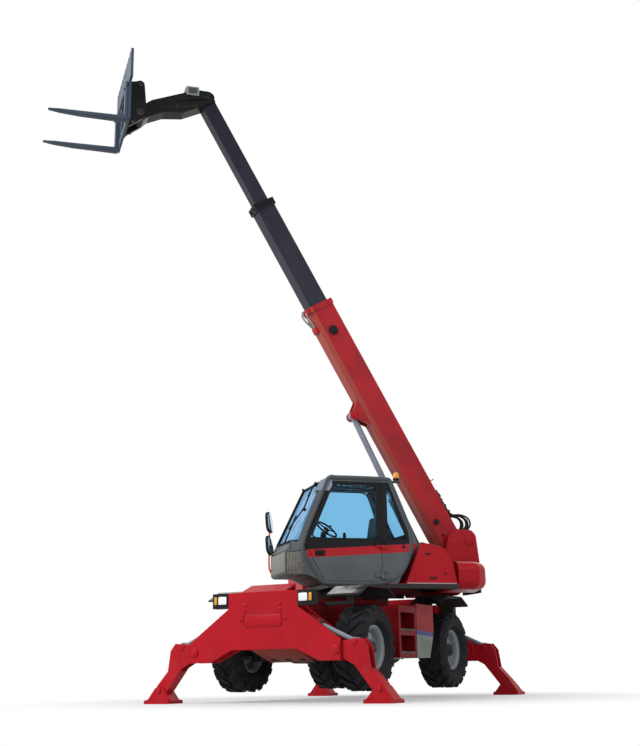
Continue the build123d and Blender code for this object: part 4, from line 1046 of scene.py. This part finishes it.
class TELEHANDLER_OT_boom(bpy.types.Operator):
    """Add wear pad bolts, plugs, hose runs and pin heads to the boom and the lift cylinder."""
    bl_idname = "telehandler.boom"
    bl_label = "Boom"

    def execute(self, context):
        sizes = context.scene.telehandler_fittings
        self.heads(sizes.bolt)
        self.plugs()
        self.tail_hoses(sizes.hose)
        self.head_lines(sizes.hose)
        self.cylinder()
        return {"FINISHED"}

    def heads(self, bolt):
        mouths = (("boom_outer", 4.385, 0.194, 0.219, "crimson"),
                  ("boom_middle", 6.280, 0.1575, 0.185, "black"))
        for body, u, half_w, half_h, finish in mouths:
            spots_y = [(u, s * half_w, BOOM_DROP + v) for s in (1, -1) for v in (-half_h * 0.5, half_h * 0.5)]
            left = bolts([spot for spot in spots_y if spot[1] > 0], (0, 1, 0), bolt, 0.018, BOOM)
            right = bolts([spot for spot in spots_y if spot[1] < 0], (0, -1, 0), bolt, 0.018, BOOM)
            above = bolts([(u, y, BOOM_DROP + half_h) for y in (-0.08, 0.08)], (0, 0, 1), bolt, 0.018, BOOM)
            below = bolts([(u, y, BOOM_DROP - half_h) for y in (-0.08, 0.08)], (0, 0, -1), bolt, 0.018, BOOM)
            name = body.replace("boom_", "")
            fit(f"{name}_pad_bolts", [left, right, above, below], body, finish)

    def plugs(self):
        plugs, rims = [], []
        for side in (1, -1):
            for x, z, radius in ((0.185, 5.669, 0.080), (-1.455, 2.642, 0.050), (-1.562, 2.441, 0.022)):
                y = side * 0.180
                plugs.append(bar((x, y - side * 0.004, z), (x, y + side * 0.007, z), radius, 0.004, 36,
                                 TURRET))
                rims.append(ring((x, y + side * 0.003, z), (0, 1, 0), radius + 0.004, 0.006, TURRET))
        dome = bar((0.185, 0.186, 5.669), (0.185, 0.199, 5.669), 0.052, 0.010, 36, TURRET)
        fit("boom_plugs", plugs + [dome], "boom_outer", "plastic")
        fit("boom_plug_rims", rims, "boom_outer", "crimson")
        bracket = bar((-1.371, 0.10, 3.279), (-1.475, 0.10, 3.335), 0.010, 0.003, 16, TURRET)
        fit("boom_bracket", [bracket], "boom_outer", "orange")

    def tail_hoses(self, radius):
        """Hoses that leave the boom's back, bow out behind it and go down into the tower."""
        for k, (y, bow) in enumerate(zip(HOSE_ROWS, HOSE_BOWS)):
            route = [(-1.80, y, 2.36), (-1.84, y, 2.44), (-1.93 - bow, y, 2.52), (-2.00 - bow, y * 1.1, 2.62),
                     (-1.97 - bow, y, 2.73), (-1.86 - bow * 0.4, y, 2.78), (-1.76, y, 2.76), (-1.69, y, 2.82),
                     (-1.63, y, 2.93), (-1.555, y, 3.05), (-1.525, y, 3.10)]
            line(route, radius * (1.15 if k % 2 else 0.9), TURRET)
            hose = started(f"tail_hose_{k}")
            bpy.ops.object.shade_smooth()
            hose.data.materials.append(MATERIALS["hose"])
            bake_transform(hose)
        clamp = [slab((0.80, -0.16, -0.036), (0.86, 0.16, 0.010), 0.006, BOOM),
                 slab((0.42, -0.16, -0.036), (0.47, 0.16, -0.020), 0.006, BOOM)]
        fittings = [bar((-1.535, y, 3.085), (-1.495, y, 3.155), radius * 1.35, 0.004, 6, TURRET)
                    for y in HOSE_ROWS]
        for x, z in ((-1.575, 3.005), (-1.635, 2.915), (-1.695, 2.825)):
            fittings.append(slab((x - 0.020, -0.15, z - 0.016), (x + 0.030, 0.15, z + 0.022), 0.006, TURRET))
        fit("hose_clamp", clamp + fittings, "boom_outer", "cast")

    def head_lines(self, radius):
        """Short pipes bent round the underside of the outer section's mouth."""
        pipes = []
        for y, drop, reach in ((-0.06, 0.060, 4.40), (0.0, 0.085, 4.44), (0.06, 0.045, 4.38)):
            pipes.append(line([(4.10, y, -0.452), (4.16, y, -0.470), (4.24, y, -0.46 - drop * 0.7),
                               (4.33, y * 1.2, -0.46 - drop), (reach, y * 1.4, -0.455 - drop),
                               (reach - 0.01, y * 1.5, -0.452)], radius * 0.75, BOOM))
        fit("head_pipes", pipes, "boom_outer", "steel")
        box = [slab((4.02, -0.10, -0.475), (4.12, 0.10, -0.443), 0.006, BOOM),
               slab((4.345, 0.10, -0.490), (4.43, 0.165, -0.440), 0.006, BOOM)]
        fit("head_manifold", box, "boom_outer", "crimson")

    def cylinder(self):
        swing = JOINTS["lift_swing"]
        base = Vector(swing["pos_m"])
        along = Vector(JOINTS["lift_stroke"]["axis"]).normalized()
        mouth = base + along * 1.38
        gland = [bar(mouth - along * 0.06, mouth + along * 0.004, 0.0805, 0.006, 40),
                 ring(mouth, along, 0.060, 0.008)]
        fit("lift_gland", gland, "lift_barrel", "steel")
        side = Vector(swing["axis"]).normalized()
        eye = BOOM @ Vector((2.58, 0.0, -0.60))
        heads = [bar(eye + side * s * 0.109, eye + side * s * 0.122, 0.058, 0.004, 32) for s in (1, -1)]
        fit("lift_eye_heads", heads, "boom_outer", "crimson")


class TELEHANDLER_OT_gooseneck(bpy.types.Operator):
    """Add lamp, hoses, pin heads and bolts to the gooseneck, hitch and carriage."""
    bl_idname = "telehandler.gooseneck"
    bl_label = "Gooseneck and forks"

    def execute(self, context):
        sizes = context.scene.telehandler_fittings
        glass = [slab((2.42, y0, 9.592), (2.58, y1, 9.642), 0.004, TURRET)
                 for y0, y1 in ((0.098, 0.106), (-0.106, -0.098))]
        fit("work_light_lens", glass, "boom_inner", "clear")
        visor = [slab((2.395, s * LIGHT_Y - 0.018, 9.500), (2.605, s * LIGHT_Y + 0.034, 9.655), 0.010, TURRET)
                 for s in (1, -1)]
        fit("work_light_frame", visor, "boom_inner", "grey")
        panes = [slab((2.425, s * LIGHT_Y + (0.030 if s > 0 else -0.022), 9.525),
                      (2.575, s * LIGHT_Y + (0.038 if s > 0 else -0.014), 9.632), 0.003, TURRET)
                 for s in (1, -1)]
        fit("work_light_panes", panes, "boom_inner", "dark_glass")
        hoses = []
        for k, y in enumerate((0.060, 0.0, -0.060)):
            rise = 0.02 * k
            hoses.append(line([(2.15, y, 9.47), (2.12, y, 9.56), (2.19, y, 9.632 + rise), (2.30, y, 9.642),
                               (2.36, y - 0.13, 9.632), (2.52, y - 0.13, 9.585), (2.64, y - 0.02, 9.545),
                               (2.80, y, 9.482), (2.90, y, 9.438), (2.96, y, 9.385)], sizes.hose * 0.8,
                              TURRET))
        for y in (0.132, -0.132):
            hoses.append(line([(2.26, y, 9.50), (2.30, y * 1.08, 9.47), (2.46, y * 1.1, 9.44),
                               (2.62, y * 1.08, 9.41), (2.72, y * 1.08, 9.385), (2.78, y * 0.9, 9.365)],
                              sizes.hose, TURRET))
        fit("gooseneck_hoses", hoses, "boom_inner", "hose")
        fittings = []
        for x, z in ((2.26, 9.50), (2.62, 9.41), (2.45, 9.30), (2.76, 9.27)):
            fittings.append(bolts([(x, 0.130, z)], (0, 1, 0), sizes.bolt, 0.016, TURRET))
            fittings.append(bolts([(x, -0.130, z)], (0, -1, 0), sizes.bolt, 0.016, TURRET))
        fittings.append(slab((2.62, -0.07, 9.500), (2.72, 0.07, 9.535), 0.006, TURRET))
        fit("gooseneck_fittings", fittings, "boom_inner", "cast")
        ribs = [plate([(2.16, 9.42), (2.36, 9.56), (2.62, 9.48), (3.10, 9.29), (3.20, 9.20), (3.02, 9.19),
                       (2.62, 9.25)], (s * 0.129, s * 0.134), 0.002, TURRET) for s in (1, -1)]
        fit("gooseneck_plates", ribs, "boom_inner", "black")
        pins = []
        for s in (1, -1):
            pins.append(bar((3.35, s * 0.187, 9.05), (3.35, s * 0.214, 9.05), 0.066, 0.006, 36, TURRET))
            pins.append(bar((3.36, s * 0.187, 9.54), (3.36, s * 0.204, 9.54), 0.046, 0.006, 32, TURRET))
            pins.append(bar((3.46, s * 0.187, 8.86), (3.46, s * 0.200, 8.86), 0.030, 0.005, 24, TURRET))
        fit("hitch_pins", pins, "carriage", "cast")
        self.forks()
        return {"FINISHED"}

    def forks(self):
        parts = [bar((3.626, -0.645, 9.262), (3.626, 0.645, 9.262), 0.019, 0.003, 24, TURRET)]
        for s in (1, -1):
            y = s * FORK_Y
            parts.append(slab((3.598, y - 0.055, 9.285), (3.640, y + 0.055, 9.330), 0.008, TURRET))
            parts.append(bar((3.650, y, 9.215), (3.675, y, 9.215), 0.016, 0.004, 20, TURRET))
            parts.append(slab((3.601, y - 0.058, 8.672), (3.668, y + 0.058, 8.735), 0.016, TURRET, 3))
        fit("fork_fittings", parts, "carriage", "slate")
        blades = []
        for s in (1, -1):
            y = s * FORK_Y
            side = [(3.600, 8.668), (4.300, 8.674), (4.620, 8.690), (4.795, 8.707), (4.795, 8.720),
                    (4.620, 8.7215), (4.300, 8.7225), (3.668, 8.735), (3.652, 8.760), (3.650, 9.300),
                    (3.600, 9.300)]
            blade = plate(side, (y - 0.062, y + 0.062), 0.0)
            for vertex in blade.data.vertices:
                if vertex.co.x > 4.5:
                    vertex.co.y = y + (vertex.co.y - y) * (0.86 if vertex.co.x < 4.7 else 0.55)
            soften(blade, 0.006)
            blades.append(settle(blade, TURRET))
        fit("fork_blades", blades, "carriage", "slate", replaces="forks")


class TELEHANDLER_OT_bodywork(bpy.types.Operator):
    """Add caps, straps, treads, lips, latches and louvres to tanks, fenders and hoods."""
    bl_idname = "telehandler.bodywork"
    bl_label = "Bodywork"

    def execute(self, context):
        sizes = context.scene.telehandler_fittings
        self.tanks(sizes.bolt)
        self.fenders(sizes.bolt)
        self.hoods()
        self.weights()
        return {"FINISHED"}

    def tanks(self, bolt):
        treads = [slab((0.085, 0.965, z), (0.555, 1.146, z + 0.010), 0.003) for z in (0.639, 0.959)]
        treads += [slab((0.085, 1.138, z), (0.555, 1.152, z + 0.028), 0.004) for z in (0.628, 0.948)]
        fit("step_treads", treads, "chassis", "mesh")
        straps = []
        for x in (-0.45, 0.45):
            straps.append(slab((x - 0.025, -1.155, 0.570), (x + 0.025, -1.148, 1.30), 0.002))
            straps.append(slab((x - 0.025, -1.155, 1.298), (x + 0.025, -0.40, 1.305), 0.002))
        fit("tank_straps", straps, "chassis", "steel")
        caps = []
        for spot, axis in (((-0.31, 0.98, 1.338), (0, 0, 1)), ((0.20, -1.148, 1.18), (0, -1, 0))):
            spot, axis = Vector(spot), Vector(axis)
            caps.append(bar(spot, spot + axis * 0.022, 0.062, 0.005, 36))
            caps.append(bar(spot + axis * 0.020, spot + axis * 0.040, 0.048, 0.006, 12))
        fit("tank_caps", caps, "chassis", "plastic")
        drains = bolts([(-0.31, 0.76, 0.572), (0.0, -0.76, 0.572)], (0, 0, -1), bolt, 0.018)
        fit("tank_drains", [drains], "chassis", "steel")

    def fenders(self, bolt):
        lips, heads = [], []
        for fore, side in CORNERS.values():
            for y in (0.702, 1.198):
                edge = [(fore * (WHEEL_X + x), side * y, z)
                        for x, z in ((-0.56, 1.388), (-0.30, 1.508), (0.30, 1.508), (0.56, 1.388))]
                lips.append(bead(edge, 0.013, CHASSIS, False))
            for y in (0.79, 1.11):
                heads += [(fore * (WHEEL_X + x), side * y, 1.519) for x in (-0.18, 0.18)]
        fit("fender_lips", lips, "chassis", "plastic")
        fit("fender_bolts", [bolts(heads, (0, 0, 1), bolt * 0.8, 0.010)], "chassis", "steel")

    def hoods(self):
        slots = [slab((-1.026, 1.117, z), (-0.917, 1.124, z + 0.016), 0.003, TURRET) for z in (1.672, 1.694)]
        slots.append(slab((-0.93, 1.118, 2.03), (-0.86, 1.130, 2.055), 0.004, TURRET))
        slots.append(bar((-1.16, 1.118, 1.76), (-1.16, 1.128, 1.76), 0.018, 0.004, 24, TURRET))
        fit("left_hood_slots", slots, "turret", "plastic")
        edge = ((-0.80, 2.204), (-1.088, 2.144), (-1.186, 2.094), (-1.294, 1.876), (-1.342, 1.615))
        rib = bead([(x, 1.116, z) for x, z in edge], 0.010, TURRET, False)
        fit("left_hood_rib", [rib], "turret", "panel")
        seam = bead([(-0.56, 1.112, 1.616), (-1.345, 1.112, 1.616)], 0.010, TURRET, False)
        fit("left_hood_skirt", [seam], "turret", "rim")
        latches = [slab((x, -1.136, 1.66), (x + 0.12, -1.118, 1.70), 0.006, TURRET) for x in (-0.95, 0.20)]
        latches.append(line([(-0.10, -1.118, 2.03), (-0.10, -1.150, 2.03), (-0.08, -1.156, 2.03),
                             (0.08, -1.156, 2.03), (0.10, -1.150, 2.03), (0.10, -1.118, 2.03)], 0.009,
                            TURRET))
        fit("hood_latches", latches, "hood", "plastic")
        vents = [slab((-1.06, -1.123, 1.716 + k * 0.055), (-0.24, -1.112, 1.722 + k * 0.055), 0.002, TURRET)
                 for k in range(6)]
        fit("hood_louvres", vents, "hood", "panel")

    def weights(self):
        heads = []
        for side in (1, -1):
            for x, z in ((-1.62, 2.30), (-1.66, 2.42), (-2.00, 2.30)):
                heads.append(bolts([(x, side * TOWER_Y, z)], (0, side, 0), 0.014, 0.012, TURRET))
            pivot = Vector((-1.95, side * TOWER_Y, 2.35))
            heads.append(bar(pivot, pivot + Vector((0, side * 0.012, 0)), 0.085, 0.005, 40, TURRET))
            heads.append(bolts([pivot + Vector((dx, side * 0.011, dz))
                                for dx, dz in ((0.055, 0.0), (-0.055, 0.0), (0.0, 0.055), (0.0, -0.055))],
                               (0, side, 0), 0.009, 0.009, TURRET))
        fit("tower_pins", heads, "turret", "crimson")


class TELEHANDLER_OT_driveline(bpy.types.Operator):
    """Add shafts, steering cylinders, cover bolts and ram glands under the chassis."""
    bl_idname = "telehandler.driveline"
    bl_label = "Driveline"

    def execute(self, context):
        bolt = context.scene.telehandler_fittings.bolt
        for end, fore in (("front", 1), ("rear", -1)):
            shaft = [bar((fore * 0.66, 0, SHAFT_Z), (fore * 1.14, 0, SHAFT_Z), 0.036, 0.004, 24)]
            for x0, x1 in ((0.615, 0.680), (1.125, 1.190)):
                shaft.append(bar((fore * x0, 0, SHAFT_Z), (fore * x1, 0, SHAFT_Z), 0.070, 0.006, 28))
            for x in (0.700, 1.105):
                shaft.append(bar((fore * x, -0.052, SHAFT_Z), (fore * x, 0.052, SHAFT_Z), 0.020, 0.004, 20))
            fit(f"{end}_shaft", shaft, "chassis", "cast")
            x = fore * 1.225
            ram = [bar((x, -0.30, 0.615), (x, 0.30, 0.615), 0.042, 0.005, 28),
                   bar((x, -0.47, 0.615), (x, 0.47, 0.615), 0.018, 0.004, 20)]
            ram += [slab((x - 0.03, y - 0.02, 0.60), (x + fore * 0.08 + 0.03, y + 0.02, 0.67), 0.005)
                    for y in (-0.24, 0.24)]
            fit(f"{end}_steering_ram", ram, "chassis", "steel")
            turns = (2 * math.pi * k / 10 for k in range(10))
            face = fore * 1.565
            spots = [(face, 0.160 * math.cos(t), 0.697 + 0.160 * math.sin(t)) for t in turns]
            fit(f"{end}_cover_bolts", [bolts(spots, (fore, 0, 0), bolt * 0.8, 0.012)], "chassis", "cast")
        for corner, (fore, side) in CORNERS.items():
            base = Vector((fore * BEAM_MIDDLE, side * 0.250, 1.250))
            eye = Vector((fore * BEAM_MIDDLE, side * RAM_PIN_Y, 0.760))
            along = (eye - base).normalized()
            mouth = base + along * 0.640
            gland = [bar(mouth - along * 0.045, mouth + along * 0.003, 0.056, 0.005, 32),
                     ring(mouth, along, 0.041, 0.007)]
            start = base + along * 0.10 + Vector((fore * 0.036, 0, 0.050))
            gland.append(bar(start, start + along * 0.48, 0.009, 0.002, 14))
            fit(f"ram_gland_{corner}", gland, "chassis", "cast")
        return {"FINISHED"}


class TELEHANDLER_OT_stage(bpy.types.Operator):
    """Set the camera at the photograph's angle, with a pale floor and soft lamps."""
    bl_idname = "telehandler.stage"
    bl_label = "Stage"

    def execute(self, context):
        settings = context.scene.telehandler_stage
        yaw, pitch = settings.camera_yaw, settings.camera_pitch
        ahead = Vector((math.cos(yaw) * math.cos(pitch), math.sin(yaw) * math.cos(pitch), math.sin(pitch)))
        right = ahead.cross(Vector((0, 0, 1))).normalized()
        up = right.cross(ahead)
        turn = Matrix.Rotation(settings.camera_roll, 4, "Z")
        rest()
        bpy.ops.object.camera_add()
        camera = bpy.context.active_object
        axes = Matrix((right, up, -ahead)).transposed().to_4x4()
        camera.matrix_world = Matrix.Translation(settings.camera_place) @ axes @ turn
        camera.data.lens = settings.lens
        camera.data.sensor_width = 36.0
        camera.data.clip_end = 200.0
        context.scene.camera = camera
        rest()
        bpy.ops.mesh.primitive_plane_add(size=120.0, location=(0, 0, 0))
        floor = started("studio_floor")
        floor.data.materials.append(floor_paint("floor_paint", settings.floor))
        self.lamp("key", (12.0, -7.0, 10.0), 8.0, settings.key_power)
        self.lamp("fill", (6.0, 15.0, 9.0), 10.0, settings.fill_power)
        self.lamp("back", (-12.0, -3.0, 12.0), 9.0, settings.fill_power)
        self.sky(context.scene, settings.sky)
        context.scene.view_settings.view_transform = "Standard"
        return {"FINISHED"}

    def lamp(self, name, place, size, power):
        rest()
        bpy.ops.object.light_add(type="AREA", location=place)
        lamp = bpy.context.active_object
        lamp.name = name
        lamp.data.size = size
        lamp.data.energy = power
        aim = Vector((0.5, 0.0, 3.0)) - Vector(place)
        lamp.rotation_euler = aim.to_track_quat("-Z", "Y").to_euler()

    def sky(self, scene, strength):
        world = bpy.data.worlds.new("studio_sky")
        scene.world = world
        world.use_nodes = True
        nodes, links = world.node_tree.nodes, world.node_tree.links
        path = nodes.new("ShaderNodeLightPath")
        shown = path.outputs["Is Camera Ray"]
        for ray in ("Is Glossy Ray", "Is Transmission Ray"):
            either = nodes.new("ShaderNodeMath")
            either.operation = "MAXIMUM"
            links.new(shown, either.inputs[0])
            links.new(path.outputs[ray], either.inputs[1])
            shown = either.outputs[0]
        level = nodes.new("ShaderNodeMapRange")
        level.inputs["To Min"].default_value = strength
        level.inputs["To Max"].default_value = 1.0
        links.new(shown, level.inputs["Value"])
        background = nodes["Background"]
        background.inputs["Color"].default_value = (1.0, 1.0, 1.0, 1.0)
        links.new(level.outputs[0], background.inputs["Strength"])


class TELEHANDLER_PT_panel(bpy.types.Panel):
    """Lists the steps."""
    bl_label = "Telehandler"
    bl_idname = "TELEHANDLER_PT_panel"
    bl_space_type = "VIEW_3D"
    bl_region_type = "UI"
    bl_category = "Telehandler"

    def draw(self, context):
        for operator in OPERATORS:
            self.layout.operator(operator.bl_idname)


OPERATORS = (
    TELEHANDLER_OT_finishes, TELEHANDLER_OT_wheels, TELEHANDLER_OT_outriggers, TELEHANDLER_OT_cab,
    TELEHANDLER_OT_driver_place, TELEHANDLER_OT_boom, TELEHANDLER_OT_gooseneck, TELEHANDLER_OT_bodywork,
    TELEHANDLER_OT_driveline, TELEHANDLER_OT_stage)
SETTINGS = {"telehandler_stage": StageSettings, "telehandler_paint": PaintSettings,
            "telehandler_fittings": FittingSettings}
CLASSES = (*SETTINGS.values(), *OPERATORS, TELEHANDLER_PT_panel)


def register():
    for item in CLASSES:
        bpy.utils.register_class(item)
    for name, group in SETTINGS.items():
        setattr(bpy.types.Scene, name, PointerProperty(type=group))


def unregister():
    for name in SETTINGS:
        delattr(bpy.types.Scene, name)
    for item in reversed(CLASSES):
        bpy.utils.unregister_class(item)


def main():
    register()
    for operator in OPERATORS:
        group, name = operator.bl_idname.split(".")
        getattr(getattr(bpy.ops, group), name)()


if __name__ == "__main__":
    main()
